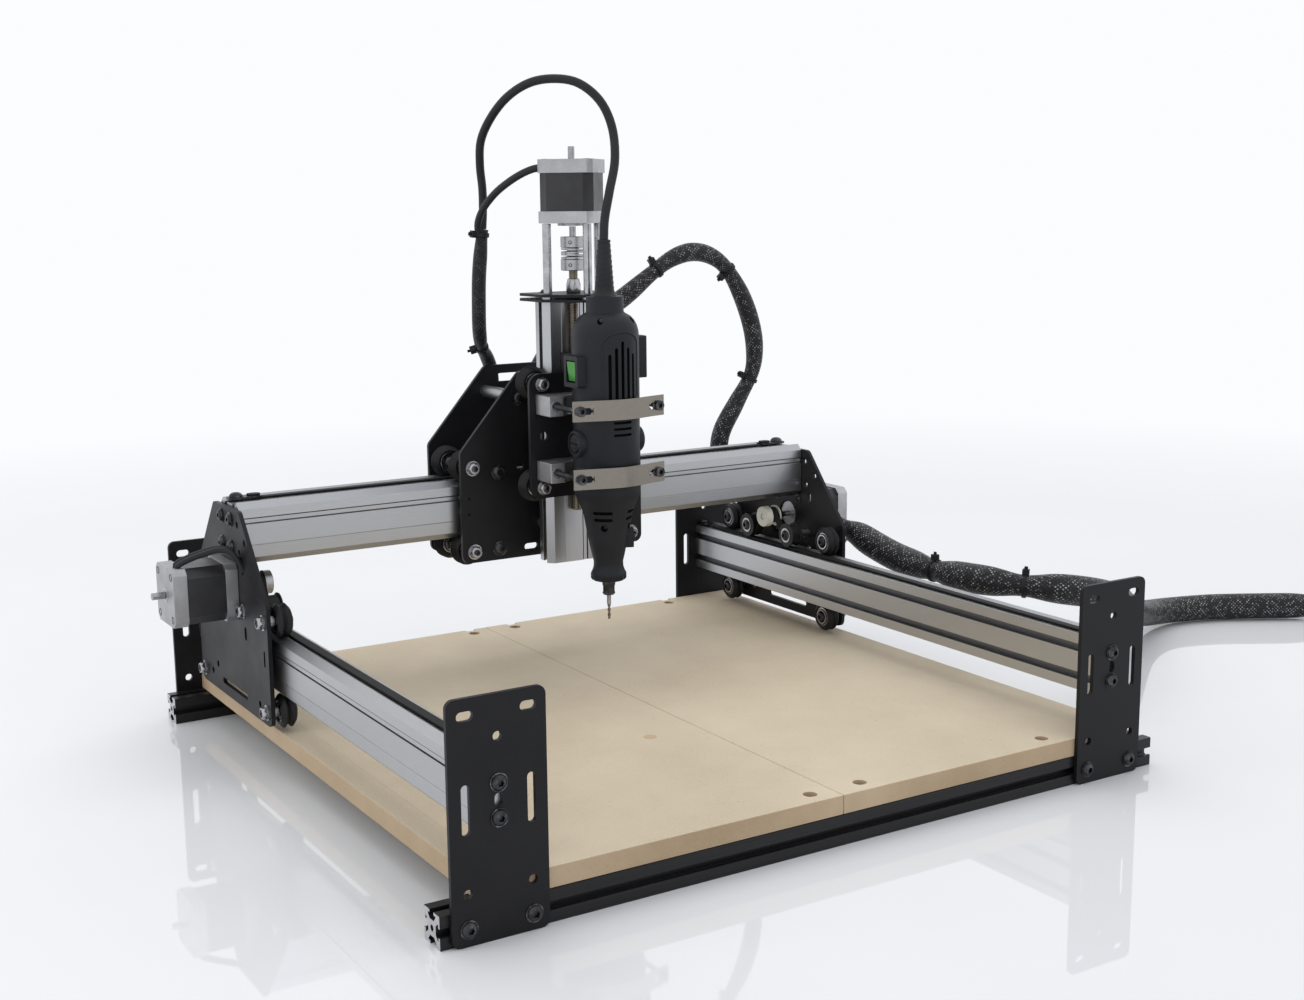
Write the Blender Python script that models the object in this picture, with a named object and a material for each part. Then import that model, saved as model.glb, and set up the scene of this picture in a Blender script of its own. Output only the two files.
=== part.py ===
"""Three-axis CNC router with a V-rail gantry, built as separate parts around their joints.

The router stands on the plane z = 0. X runs to its right, Y to its back and Z up, and the origin is
the middle of its footprint. All lengths are in metres.
"""

import math

import bmesh
import bpy
import numpy as np
from mathutils import Matrix, Vector

GAP = 0.0003  # between pieces that touch
SHARP_ANGLE = math.radians(35)
HOLE_SIDES = 6
X_AXIS = Vector((1, 0, 0))
Y_AXIS = Vector((0, 1, 0))
Z_AXIS = Vector((0, 0, 1))
SIDES = (("left", -1), ("right", 1))

# Base
CROSS_RAIL_SIZE = 0.020
CROSS_RAIL_LENGTH = 0.552
CROSS_RAIL_Y = 0.240
FRONT_CROSS_RAIL_SHIFT = 0.005
REAR_CROSS_RAIL_SHIFT = 0.003
BED_HALF_DEPTH = 0.250
BOARD_THICKNESS = 0.0127
BOARD_BOTTOM = CROSS_RAIL_SIZE + GAP
BOARD_LEFT = -0.245
BOARD_JOINT = 0.005
BOARD_RIGHT = 0.257
END_PLATE_X = 0.235
END_PLATE_WIDTH = 0.060
END_PLATE_HEIGHT = 0.140
PLATE_THICKNESS = 0.003

# V-rails and wheels
V_RAIL_HALF = 0.020
V_TIP_REACH = 0.0225
V_TIP_DEPTH = 0.015
WHEEL_OFFSET = 0.0324  # from a rail's centre line to a wheel's axle
WHEEL_RADIUS = 0.0122
WHEEL_HALF_WIDTH = 0.0055
WHEEL_GROOVE_RADIUS = 0.0096
WHEEL_BORE = 0.0025
AXLE_RADIUS = 0.0022
BELT_WIDTH = 0.006
BELT_THICKNESS = 0.0014
BELT_RADIUS = 0.0064  # of a pulley's teeth

# Gantry
Y_RAIL_BACK = 0.225  # |x| of the side rails' back faces
Y_RAIL_Z = 0.080
Y_WHEEL_X = Y_RAIL_BACK + V_TIP_DEPTH
Y_BELT_X = 0.232
GANTRY_Y = 0.140
Y_PLATE_X = 0.250
Y_WHEEL_SPREAD = 0.070
Y_PULLEY_Z = 0.1246
IDLER_SPREAD = 0.029
Y_IDLER_Z = 0.1123
X_RAIL_Z = 0.166
X_RAIL_HALF_LENGTH = Y_PLATE_X - GAP
MOTOR_SIZE = 0.0423
MOTOR_BOSS_RADIUS = 0.011
MOTOR_BOSS_HEIGHT = 0.002
MOTOR_HOLE_RADIUS = 0.0115
MOTOR_SCREW_SPREAD = 0.0155

# X carriage
X_PLATE_FRONT_Y = 0.110
X_PLATE_REAR_Y = 0.1673
X_WHEEL_SPREAD = 0.070
X_WHEEL_Y = (0.125, 0.1553)
X_PULLEY_Z = 0.2106
X_IDLER_Z = 0.1983
X_BELT_Y = 0.1473
Y_SHAFT_END = 0.019  # from the belt's middle to the end of a pulley's shaft
X_SHAFT_END = 0.021

# Z axis and tool
Z_RAIL_BACK = 0.097
Z_RAIL_BOTTOM = 0.124
Z_RAIL_TOP = 0.324
Z_WHEEL_Y = Z_RAIL_BACK - V_TIP_DEPTH
Z_WHEEL_HEIGHTS = (0.186, 0.264)
Z_PLATE_Y = 0.066
SCREW_Y = 0.073
SCREW_RADIUS = 0.00325
Z_MOTOR_BASE = 0.382
TOOL_Y = 0.027
TOOL_RADIUS = 0.0247
CLAMP_HEIGHTS = (("lower", 0.1925), ("upper", 0.242))
CLAMP_DEPTH = 0.015
SWITCH_HINGE = Vector((-0.0263, TOOL_Y, 0.2765))

# Cords
SPINDLE_CORD_RADIUS = 0.00325
CARRIAGE_HARNESS_RADIUS = 0.0055
LOOP_HARNESS_RADIUS = 0.008
MAIN_HARNESS_RADIUS = 0.012

FINISHES = {
    "black_anodised": ((0.012, 0.012, 0.014), 0.42, 0.9),
    "silver_anodised": ((0.62, 0.63, 0.65), 0.35, 1.0),
    "black_coated": ((0.014, 0.014, 0.017), 0.5, 0.3),
    "bright_metal": ((0.66, 0.67, 0.69), 0.3, 1.0),
    "wood_fibre": ((0.56, 0.42, 0.27), 0.85, 0.0),
    "black_rubber": ((0.012, 0.012, 0.012), 0.7, 0.0),
    "black_nylon": ((0.016, 0.016, 0.017), 0.45, 0.0),
    "tool_plastic": ((0.018, 0.019, 0.024), 0.5, 0.0),
    "green_plastic": ((0.10, 0.42, 0.08), 0.3, 0.0),
    "black_sleeve": ((0.015, 0.015, 0.016), 0.6, 0.0),
}

# ---------------------------------------------------------------- outlines


def circle(centre, radius, sides=HOLE_SIDES, turn=0.0):
    angles = [turn + 2 * math.pi * i / sides for i in range(sides)]
    return [(centre[0] + radius * math.cos(a), centre[1] + radius * math.sin(a)) for a in angles]


def slot(centre, length, width, upright=False, steps=2):
    """A slot with round ends, `length` long over all."""
    reach = (length - width) / 2
    outline = []
    for end, side in enumerate((1, -1)):
        for i in range(steps + 1):
            angle = math.pi * (end + i / steps) - math.pi / 2
            outline.append((side * reach + width / 2 * math.cos(angle), width / 2 * math.sin(angle)))
    if upright:
        outline = [(-v, u) for u, v in outline]
    return [(centre[0] + u, centre[1] + v) for u, v in outline]


def rounded(corners, radius, steps=2):
    """The polygon with each corner replaced by an arc that its two sides touch."""
    outline = []
    count = len(corners)
    for i, corner in enumerate(corners):
        point = Vector(corner)
        back = (Vector(corners[i - 1]) - point).normalized()
        ahead = (Vector(corners[(i + 1) % count]) - point).normalized()
        half_angle = back.angle(ahead) / 2
        centre = point + (back + ahead).normalized() * radius / math.sin(half_angle)
        reach = radius / math.tan(half_angle)
        start = point + back * reach - centre
        end = point + ahead * reach - centre
        first = math.atan2(start.y, start.x)
        turn = math.remainder(math.atan2(end.y, end.x) - first, 2 * math.pi)
        for step in range(steps + 1):
            angle = first + turn * step / steps
            outline.append((centre.x + radius * math.cos(angle), centre.y + radius * math.sin(angle)))
    return outline


def box_outline(low, high):
    return [(low[0], low[1]), (high[0], low[1]), (high[0], high[1]), (low[0], high[1])]


def hull(points):
    """The convex outline around some points, anticlockwise."""
    ordered = sorted(points)
    outline = []
    for run in (ordered, ordered[::-1]):
        chain = []
        for point in run:
            while len(chain) > 1 and turns_right(chain[-2], chain[-1], point):
                chain.pop()
            chain.append(point)
        outline += chain[:-1]
    return outline


def turns_right(a, b, c):
    return (b[0] - a[0]) * (c[1] - a[1]) - (b[1] - a[1]) * (c[0] - a[0]) <= 0


def chamfered_square(half, chamfer):
    """Eight corners, in step with those of an eight-sided circle turned by half a side."""
    flat = half - chamfer
    corner = [(half, -flat), (half, flat)]
    outline = []
    for _ in range(4):
        outline += corner
        corner = [(-v, u) for u, v in corner]
    return outline


def octagon(radius):
    return circle((0, 0), radius, 8, -math.pi / 8)


def t_slot(mouth=0.0027, widest=0.0048):
    """Half of a T-slot's outline: its distance from the slot's middle and its depth."""
    return [(mouth, 0.0), (mouth, 0.0018), (widest, 0.0018), (widest, 0.0026), (0.0026, 0.0052)]


def t_slot_rail_outline(half=CROSS_RAIL_SIZE / 2):
    side = [(-u, -half + depth) for u, depth in t_slot()]
    side += [(-u, v) for u, v in reversed(side)]
    side = [(-half, -half)] + side
    outline = []
    for _ in range(4):
        outline += side
        side = [(-v, u) for u, v in side]
    return outline


def v_rail_outline():
    """Across the rail (u) and out from its back face (v), anticlockwise from the middle of the back."""
    slot_u = 0.010
    slot_v = 0.008
    half = V_RAIL_HALF
    back = [(slot_u - u, depth) for u, depth in t_slot()]
    back += [(2 * slot_u - u, v) for u, v in reversed(back)]
    side = [(half - depth, slot_v - u) for u, depth in t_slot(widest=0.0042)]
    side += [(u, 2 * slot_v - v) for u, v in reversed(side)]
    slope = V_TIP_REACH - half
    front = [
        (half, V_TIP_DEPTH - slope),
        (V_TIP_REACH, V_TIP_DEPTH),
        (half - slope, half),
        (0.0150, 0.0200),
        (0.0150, 0.0182),
        (0.0130, 0.0182),
        (0.0130, 0.0200),
        (0.0004, 0.0200),
    ]
    right = back + [(half, 0.0)] + side + front
    middle = [(0.0, 0.0196)]
    return right + middle + [(-u, v) for u, v in reversed(right)]


# ---------------------------------------------------------------- meshes


def placed(origin, u_axis, v_axis, w_axis):
    """The matrix that takes outline coordinates u and v and depth w to the world."""
    rows = [(u_axis[i], v_axis[i], w_axis[i], origin[i]) for i in range(3)]
    return Matrix(rows + [(0, 0, 0, 1)])


def add_ring(bm, place, outline, w):
    return [bm.verts.new(place @ Vector((u, v, w))) for u, v in outline]


def join_rings(bm, low, high):
    for i, vertex in enumerate(low):
        bm.faces.new((low[i - 1], vertex, high[i], high[i - 1]))


def fill_between(bm, rings):
    edges = []
    for ring in rings:
        for i, vertex in enumerate(ring):
            edges.append(bm.edges.get((ring[i - 1], vertex)) or bm.edges.new((ring[i - 1], vertex)))
    bmesh.ops.triangle_fill(bm, use_beauty=True, edges=edges)


def add_stud(bm, place, stud, face, outward):
    """A turned peg that stands on a face; returns the ring where it meets the face."""
    centre, profile, sides = stud
    rings = [add_ring(bm, place, circle(centre, r, sides), face + outward * h) for r, h in profile]
    for low, high in zip(rings, rings[1:]):
        join_rings(bm, low, high)
    bm.faces.new(rings[-1])
    return rings[0]


def plate(place, depth, outline, holes=(), low_studs=(), high_studs=()):
    """A flat plate with holes through it and pegs that stand on its two faces."""
    bm = bmesh.new()
    low_rings = []
    high_rings = []
    for loop in (outline, *holes):
        low_rings.append(add_ring(bm, place, loop, 0.0))
        high_rings.append(add_ring(bm, place, loop, depth))
        join_rings(bm, low_rings[-1], high_rings[-1])
    low_rings += [add_stud(bm, place, stud, 0.0, -1) for stud in low_studs]
    high_rings += [add_stud(bm, place, stud, depth, 1) for stud in high_studs]
    fill_between(bm, low_rings)
    fill_between(bm, high_rings)
    bmesh.ops.recalc_face_normals(bm, faces=bm.faces)
    return bm


def stack(place, sections, closed=False):
    """Outlines with equally many corners, joined one after another; `closed` makes a ring."""
    bm = bmesh.new()
    rings = [add_ring(bm, place, outline, w) for outline, w in sections]
    for low, high in zip(rings, rings[1:]):
        join_rings(bm, low, high)
    if closed:
        join_rings(bm, rings[-1], rings[0])
    else:
        bm.faces.new(rings[0])
        bm.faces.new(rings[-1])
    bmesh.ops.recalc_face_normals(bm, faces=bm.faces)
    return bm


def turned(place, profile, sides, bored=False):
    """A profile of (radius, distance along the axis) turned about that axis."""
    return stack(place, [(circle((0, 0), r, sides), w) for r, w in profile], bored)


def in_x(side=1, x=0.0, y=0.0, z=0.0):
    """Outlines in Y and Z, with depth to the right or left."""
    return placed((side * x, y, z), Y_AXIS, Z_AXIS, side * X_AXIS)


def in_y(side=1, x=0.0, y=0.0, z=0.0):
    """Outlines in X and Z, with depth to the back or front."""
    return placed((x, y, z), X_AXIS, Z_AXIS, side * Y_AXIS)


def in_z(x=0.0, y=0.0, z=0.0):
    return placed((x, y, z), X_AXIS, Y_AXIS, Z_AXIS)


# ---------------------------------------------------------------- objects


def clear_scene():
    for old in list(bpy.data.objects):
        bpy.data.objects.remove(old, do_unlink=True)


def material(name, finish):
    colour, roughness, metallic = FINISHES[finish]
    made = bpy.data.materials.new(f"{name}_{finish}")
    made.use_nodes = True
    shader = made.node_tree.nodes["Principled BSDF"]
    shader.inputs["Base Color"].default_value = (*colour, 1.0)
    shader.inputs["Roughness"].default_value = roughness
    shader.inputs["Metallic"].default_value = metallic
    made.diffuse_color = (*colour, 1.0)
    return made


def carrier(name, position, parent=None):
    """An empty that moves with a joint."""
    empty = bpy.data.objects.new(name, None)
    empty.empty_display_size = 0.03
    bpy.context.scene.collection.objects.link(empty)
    carry(empty, position, parent)
    return empty


def carry(obj, position, parent):
    obj["at"] = list(position)
    offset = Vector(parent["at"]) if parent else Vector((0, 0, 0))
    obj.parent = parent
    obj.location = Vector(position) - offset


def mesh_of(name, bm, finish, pivot=(0, 0, 0)):
    bmesh.ops.translate(bm, vec=-Vector(pivot), verts=bm.verts)
    mesh = bpy.data.meshes.new(name)
    bm.to_mesh(mesh)
    bm.free()
    mesh.shade_smooth()
    mesh.set_sharp_from_angle(angle=SHARP_ANGLE)
    mesh.materials.append(material(name, finish))
    return mesh


def part(name, bm, finish, parent=None, pivot=(0, 0, 0)):
    obj = bpy.data.objects.new(name, mesh_of(name, bm, finish, pivot))
    bpy.context.scene.collection.objects.link(obj)
    carry(obj, pivot, parent)
    return obj


def shape(obj, operation, name, bm):
    """Joins a second shape to an object, or cuts it out, by an exact Boolean."""
    helper = part(f"{obj.name}_{name}", bm, "bright_metal", obj.parent, Vector(obj["at"]))
    helper.hide_render = True
    helper.display_type = "WIRE"
    modifier = obj.modifiers.new(name, "BOOLEAN")
    modifier.operation = operation
    modifier.solver = "EXACT"
    modifier.object = helper


def smooth_route(points, spacing):
    """Evenly spaced points on the Catmull-Rom curve through a route's points."""
    knots = [np.array(p, float) for p in points]
    knots = [2 * knots[0] - knots[1]] + knots + [2 * knots[-1] - knots[-2]]
    dense = []
    for a, b, c, d in zip(knots, knots[1:], knots[2:], knots[3:]):
        for t in np.linspace(0, 1, 24, endpoint=False):
            quadratic = 2 * a - 5 * b + 4 * c - d
            cubic = 3 * b - a - 3 * c + d
            dense.append(0.5 * (2 * b + (c - a) * t + quadratic * t**2 + cubic * t**3))
    dense.append(knots[-2])
    dense = np.array(dense)
    along = np.concatenate([[0], np.cumsum(np.linalg.norm(np.diff(dense, axis=0), axis=1))])
    stations = np.linspace(0, along[-1], max(2, round(along[-1] / spacing)) + 1)
    return np.stack([np.interp(stations, along, dense[:, axis]) for axis in range(3)], axis=1)


def cord(name, route, radius, finish, parent=None):
    """A tube along a route; its cross-section is as coarse as its diameter allows."""
    curve = bpy.data.curves.new(name, "CURVE")
    curve.dimensions = "3D"
    curve.bevel_depth = radius
    curve.bevel_resolution = 2
    curve.use_fill_caps = True
    points = smooth_route(route, 2.6 * radius)
    at = Vector(parent["at"]) if parent else Vector((0, 0, 0))
    spline = curve.splines.new("POLY")
    spline.points.add(len(points) - 1)
    for spline_point, point in zip(spline.points, points):
        spline_point.co = (*(Vector(point) - at), 1.0)
    curve.materials.append(material(name, finish))
    obj = bpy.data.objects.new(name, curve)
    bpy.context.scene.collection.objects.link(obj)
    carry(obj, at, parent)
    return obj


# ---------------------------------------------------------------- fasteners


def button_head(centre, radius=0.0045):
    return (centre, [(radius, 0.0), (radius * 0.8, 0.003)], 8)


def nut(centre):
    return (centre, [(0.0046, 0.0), (0.0046, 0.0042)], 6)


def axle(centre, spacer, width):
    """A spacer, an axle for something `width` wide, and the lock nut at its end."""
    end = spacer + width + 2 * GAP
    nut_radius = 0.0038
    profile = [
        (nut_radius, 0.0),
        (nut_radius, spacer),
        (AXLE_RADIUS, spacer),
        (AXLE_RADIUS, end),
        (nut_radius, end),
        (nut_radius, end + 0.003),
    ]
    return (centre, profile, 6)


def wheel_mesh():
    """A wheel with a V-groove between bevelled rims, its axle along Z."""
    edge = 0.0097
    crest = 0.0029
    profile = [
        (WHEEL_BORE, -WHEEL_HALF_WIDTH),
        (edge, -WHEEL_HALF_WIDTH),
        (WHEEL_RADIUS, -crest),
        (WHEEL_GROOVE_RADIUS, 0.0),
        (WHEEL_RADIUS, crest),
        (edge, WHEEL_HALF_WIDTH),
        (WHEEL_BORE, WHEEL_HALF_WIDTH),
    ]
    return mesh_of("wheel", turned(in_z(), profile, 12, bored=True), "black_nylon")


def wheel(name, mesh, position, rotation, parent):
    obj = bpy.data.objects.new(name, mesh)
    bpy.context.scene.collection.objects.link(obj)
    obj.rotation_euler = rotation
    carry(obj, position, parent)


def pulley(name, place, pivot, shaft_end, parent):
    """A toothed pulley with its hub and the motor shaft that it sits on.

    Depth 0 is the belt's middle, and the shaft runs on to shaft_end, towards the motor.
    """
    teeth = 0.0037
    flange = 0.0012
    hub = 0.0045
    flange_radius = 0.009
    hub_radius = 0.008
    shaft_radius = 0.0025
    front = -teeth - flange - hub
    profile = [
        (shaft_radius, front - 0.0015),
        (shaft_radius, front),
        (hub_radius, front),
        (hub_radius, -teeth - flange),
        (flange_radius, -teeth - flange),
        (flange_radius, -teeth),
        (BELT_RADIUS, -teeth),
        (BELT_RADIUS, teeth),
        (flange_radius, teeth),
        (flange_radius, teeth + flange),
        (shaft_radius, teeth + flange),
        (shaft_radius, shaft_end),
    ]
    part(name, turned(place, profile, 12), "bright_metal", parent, pivot)


def motor(name, place, parent, pivot, rear_shaft=0.010, long=0.0464):
    """A square stepping motor: boss, front cap, laminated body, rear cap and rear shaft."""
    half = MOTOR_SIZE / 2
    front_cap = 0.0087
    rear_cap = long - 0.010
    sections = [
        (octagon(MOTOR_BOSS_RADIUS), -MOTOR_BOSS_HEIGHT),
        (octagon(MOTOR_BOSS_RADIUS), 0.0),
        (chamfered_square(half, 0.004), 0.0),
        (chamfered_square(half, 0.004), front_cap),
        (chamfered_square(half - 0.0004, 0.007), front_cap),
        (chamfered_square(half - 0.0004, 0.007), rear_cap),
        (chamfered_square(half, 0.004), rear_cap),
        (chamfered_square(half, 0.004), long),
        (octagon(0.0025), long),
        (octagon(0.0025), long + rear_shaft),
    ]
    part(name, stack(place, sections), "black_coated", parent, pivot)


# ---------------------------------------------------------------- base


def build_base():
    for name, y, shift in (
        ("front_cross_rail", -CROSS_RAIL_Y, FRONT_CROSS_RAIL_SHIFT),
        ("rear_cross_rail", CROSS_RAIL_Y, REAR_CROSS_RAIL_SHIFT),
    ):
        place = in_x(x=shift - CROSS_RAIL_LENGTH / 2, y=y, z=CROSS_RAIL_SIZE / 2)
        core = circle((0, 0), 0.0021)
        part(name, plate(place, CROSS_RAIL_LENGTH, t_slot_rail_outline(), [core]), "black_anodised")
    build_boards()
    for end, toward in (("front", -1), ("rear", 1)):
        for side_name, side in SIDES:
            build_end_plate(f"end_plate_{end}_{side_name}", side * END_PLATE_X, toward)
    for side_name, side in SIDES:
        build_y_rail(side_name, side)
        build_y_belt(side_name, side)


def build_boards():
    """The bed: two boards side by side, notched at the back and screwed down near their edges."""
    screw_radius = 0.0035
    notch_depth = 0.004
    notch_half_width = 0.004
    half_joint = GAP / 2
    for name, low, high, notches, screws in (
        ("board_left", BOARD_LEFT, BOARD_JOINT - half_joint, [-0.010], [-0.0115, -0.225]),
        ("board_right", BOARD_JOINT + half_joint, BOARD_RIGHT, [0.030, 0.190], [0.028, 0.187]),
    ):
        back = []
        for x in sorted(notches, reverse=True):
            back += [
                (x + notch_half_width, BED_HALF_DEPTH),
                (x + notch_half_width, BED_HALF_DEPTH - notch_depth),
                (x - notch_half_width, BED_HALF_DEPTH - notch_depth),
                (x - notch_half_width, BED_HALF_DEPTH),
            ]
        outline = [(low, -BED_HALF_DEPTH), (high, -BED_HALF_DEPTH), (high, BED_HALF_DEPTH)]
        outline += back + [(low, BED_HALF_DEPTH)]
        holes = [circle((x, y), screw_radius) for x in screws for y in (-0.237, 0.237)]
        bed = plate(in_z(z=BOARD_BOTTOM), BOARD_THICKNESS, outline, holes)
        part(name, bed, "wood_fibre")


def build_end_plate(name, x, toward):
    half = END_PLATE_WIDTH / 2
    outline = rounded(box_outline((-half, 0), (half, END_PLATE_HEIGHT)), 0.005)
    holes = [slot((0, 0.080), 0.008, 0.005, upright=True), circle((0, 0.116), 0.0027)]
    for side in (-1, 1):
        holes.append(slot((side * 0.019, 0.130), 0.010, 0.0055))
        holes.append(slot((side * 0.020, 0.0775), 0.029, 0.005, upright=True))
        holes.append(circle((side * 0.020, 0.030), 0.00275))
    bolts = [(0, 0.070), (0, 0.090), (-0.020, 0.010), (0.020, 0.010)]
    place = in_y(toward, x, toward * (BED_HALF_DEPTH + GAP))
    heads = [button_head(bolt) for bolt in bolts]
    part(name, plate(place, PLATE_THICKNESS, outline, holes, high_studs=heads), "black_coated")


def v_rail(name, place, length, parent=None, pivot=(0, 0, 0)):
    cores = [circle((u, 0.010), 0.0021) for u in (-0.010, 0.010)]
    part(name, plate(place, length, v_rail_outline(), cores), "silver_anodised", parent, pivot)


def build_y_rail(side_name, side):
    origin = (side * Y_RAIL_BACK, -BED_HALF_DEPTH, Y_RAIL_Z)
    v_rail(f"y_rail_{side_name}", placed(origin, Z_AXIS, side * X_AXIS, Y_AXIS), 2 * BED_HALF_DEPTH)


def belt_outline(end, clip_length=0.012):
    """A straight belt with a wider clip at each end."""
    narrow = BELT_WIDTH / 2
    wide = 0.005
    return [
        (-wide, -end),
        (narrow, -end),
        (narrow, end),
        (-wide, end),
        (-wide, end - clip_length),
        (-narrow, end - clip_length),
        (-narrow, clip_length - end),
        (-wide, clip_length - end),
    ]


def build_y_belt(side_name, side):
    z = Y_RAIL_Z + V_RAIL_HALF + GAP
    place = placed((side * Y_BELT_X, 0, z), side * X_AXIS, Y_AXIS, Z_AXIS)
    outline = belt_outline(BED_HALF_DEPTH - 0.0015)
    part(f"y_belt_{side_name}", plate(place, BELT_THICKNESS, outline), "black_rubber")


# ---------------------------------------------------------------- gantry


def build_gantry(gantry, wheel_shape):
    for side_name, side in SIDES:
        build_y_plate(side_name, side, gantry)
        pivot = (side * Y_BELT_X, GANTRY_Y, Y_PULLEY_Z)
        place = in_x(side, Y_BELT_X, GANTRY_Y, Y_PULLEY_Z)
        pulley(f"y_pulley_{side_name}", place, pivot, Y_SHAFT_END, gantry)
        outer_face = Y_PLATE_X + PLATE_THICKNESS + GAP
        motor(f"y_motor_{side_name}", in_x(side, outer_face, GANTRY_Y, Y_PULLEY_Z), gantry, pivot)
        for height_name, up in (("lower", -1), ("upper", 1)):
            for end_name, back in (("front", -1), ("rear", 1)):
                position = (
                    side * Y_WHEEL_X,
                    GANTRY_Y + back * Y_WHEEL_SPREAD,
                    Y_RAIL_Z + up * WHEEL_OFFSET,
                )
                name = f"y_wheel_{side_name}_{height_name}_{end_name}"
                wheel(name, wheel_shape, position, (0, math.pi / 2, 0), gantry)
    for name, y, toward in (("front", GANTRY_Y, -1), ("rear", GANTRY_Y + GAP, 1)):
        place = placed((-X_RAIL_HALF_LENGTH, y, X_RAIL_Z), Z_AXIS, toward * Y_AXIS, X_AXIS)
        v_rail(f"x_rail_{name}", place, 2 * X_RAIL_HALF_LENGTH, gantry, (0, y, X_RAIL_Z))
    z = X_RAIL_Z + V_RAIL_HALF + GAP
    place = placed((0, X_BELT_Y, z), Y_AXIS, X_AXIS, Z_AXIS)
    outline = belt_outline(X_RAIL_HALF_LENGTH - 0.001, 0.030)
    part("x_belt", plate(place, BELT_THICKNESS, outline), "black_rubber", gantry, (0, X_BELT_Y, z))


def build_y_plate(side_name, side, gantry):
    """A gantry side plate: wheels and belt idlers on its inner face, bolt heads on its outer one."""
    foot = 0.078
    shoulder = 0.028
    knee = 0.125
    corners = [
        (GANTRY_Y - foot, 0.038),
        (GANTRY_Y + foot, 0.038),
        (GANTRY_Y + foot, knee),
        (GANTRY_Y + shoulder, 0.184),
        (GANTRY_Y - shoulder, 0.184),
        (GANTRY_Y - foot, knee),
    ]
    holes = [
        circle((GANTRY_Y, Y_PULLEY_Z), MOTOR_HOLE_RADIUS, 12),
        circle((0.116, 0.174), 0.0026),
        circle((0.114, 0.154), 0.0026),
        circle((0.102, 0.163), 0.0026),
        circle((0.085, 0.050), 0.0026),
        circle((0.191, 0.050), 0.0026),
        circle((0.178, 0.058), 0.0026),
        slot((0.109, 0.096), 0.010, 0.0045, upright=True),
        slot((0.109, 0.143), 0.009, 0.0045, upright=True),
        slot((GANTRY_Y, 0.048), 0.056, 0.0045),
        slot((0.0705, 0.086), 0.012, 0.003, upright=True),
    ]
    wheels = [
        (GANTRY_Y + back * Y_WHEEL_SPREAD, Y_RAIL_Z + up * WHEEL_OFFSET)
        for back in (-1, 1)
        for up in (-1, 1)
    ]
    idlers = [(GANTRY_Y + back * IDLER_SPREAD, Y_IDLER_Z) for back in (-1, 1)]
    rail_bolts = [(y, X_RAIL_Z + up * 0.010) for y in (0.130, 0.1503) for up in (-1, 1)]
    motor_screws = [
        (GANTRY_Y + a * MOTOR_SCREW_SPREAD, Y_PULLEY_Z + b * MOTOR_SCREW_SPREAD)
        for a in (-1, 1)
        for b in (-1, 1)
    ]
    wheel_spacer = Y_PLATE_X - Y_WHEEL_X - WHEEL_HALF_WIDTH - GAP
    idler_spacer = Y_PLATE_X - Y_BELT_X - WHEEL_HALF_WIDTH - GAP
    inner = [axle(centre, wheel_spacer, 2 * WHEEL_HALF_WIDTH) for centre in wheels]
    inner += [axle(centre, idler_spacer, 2 * WHEEL_HALF_WIDTH) for centre in idlers]
    inner += [button_head(centre, 0.003) for centre in motor_screws]
    if side > 0:
        gland = [(0.0085, 0.0), (0.0085, 0.003), (0.0075, 0.004)]
        inner.append(((0.184, 0.140), gland, HOLE_SIDES))
    outer = [button_head(centre) for centre in wheels + idlers + rail_bolts]
    bm = plate(in_x(side, Y_PLATE_X), PLATE_THICKNESS, rounded(corners, 0.006), holes, inner, outer)
    part(f"y_plate_{side_name}", bm, "black_coated", gantry, (side * Y_PLATE_X, GANTRY_Y, X_RAIL_Z))


# ---------------------------------------------------------------- X carriage


def x_plate_outline():
    half = 0.080
    top = 0.029
    corners = [(-half, 0.125), (half, 0.125), (half, 0.211), (top, 0.270), (-top, 0.270), (-half, 0.211)]
    return rounded(corners, 0.006)


def build_x_carriage(x_carriage, wheel_shape):
    build_x_plate_front(x_carriage)
    build_x_plate_rear(x_carriage)
    for row_name, y in zip(("front", "rear"), X_WHEEL_Y):
        for side_name, side in SIDES:
            for height_name, up in (("lower", -1), ("upper", 1)):
                position = (side * X_WHEEL_SPREAD, y, X_RAIL_Z + up * WHEEL_OFFSET)
                name = f"x_wheel_{row_name}_{side_name}_{height_name}"
                wheel(name, wheel_shape, position, (math.pi / 2, 0, 0), x_carriage)
    pivot = (0, X_BELT_Y, X_PULLEY_Z)
    pulley("x_pulley", in_y(1, *pivot), pivot, X_SHAFT_END, x_carriage)
    motor_face = X_PLATE_REAR_Y + PLATE_THICKNESS + GAP
    motor("x_motor", in_y(1, 0, motor_face, X_PULLEY_Z), x_carriage, pivot)
    place = placed((0, Z_RAIL_BACK, Z_RAIL_BOTTOM), X_AXIS, -Y_AXIS, Z_AXIS)
    v_rail("z_rail", place, Z_RAIL_TOP - Z_RAIL_BOTTOM, x_carriage, (0, Z_RAIL_BACK, Z_RAIL_BOTTOM))
    build_z_motor_mount(x_carriage)
    build_z_motor(x_carriage)
    build_lead_screw(x_carriage)


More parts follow.
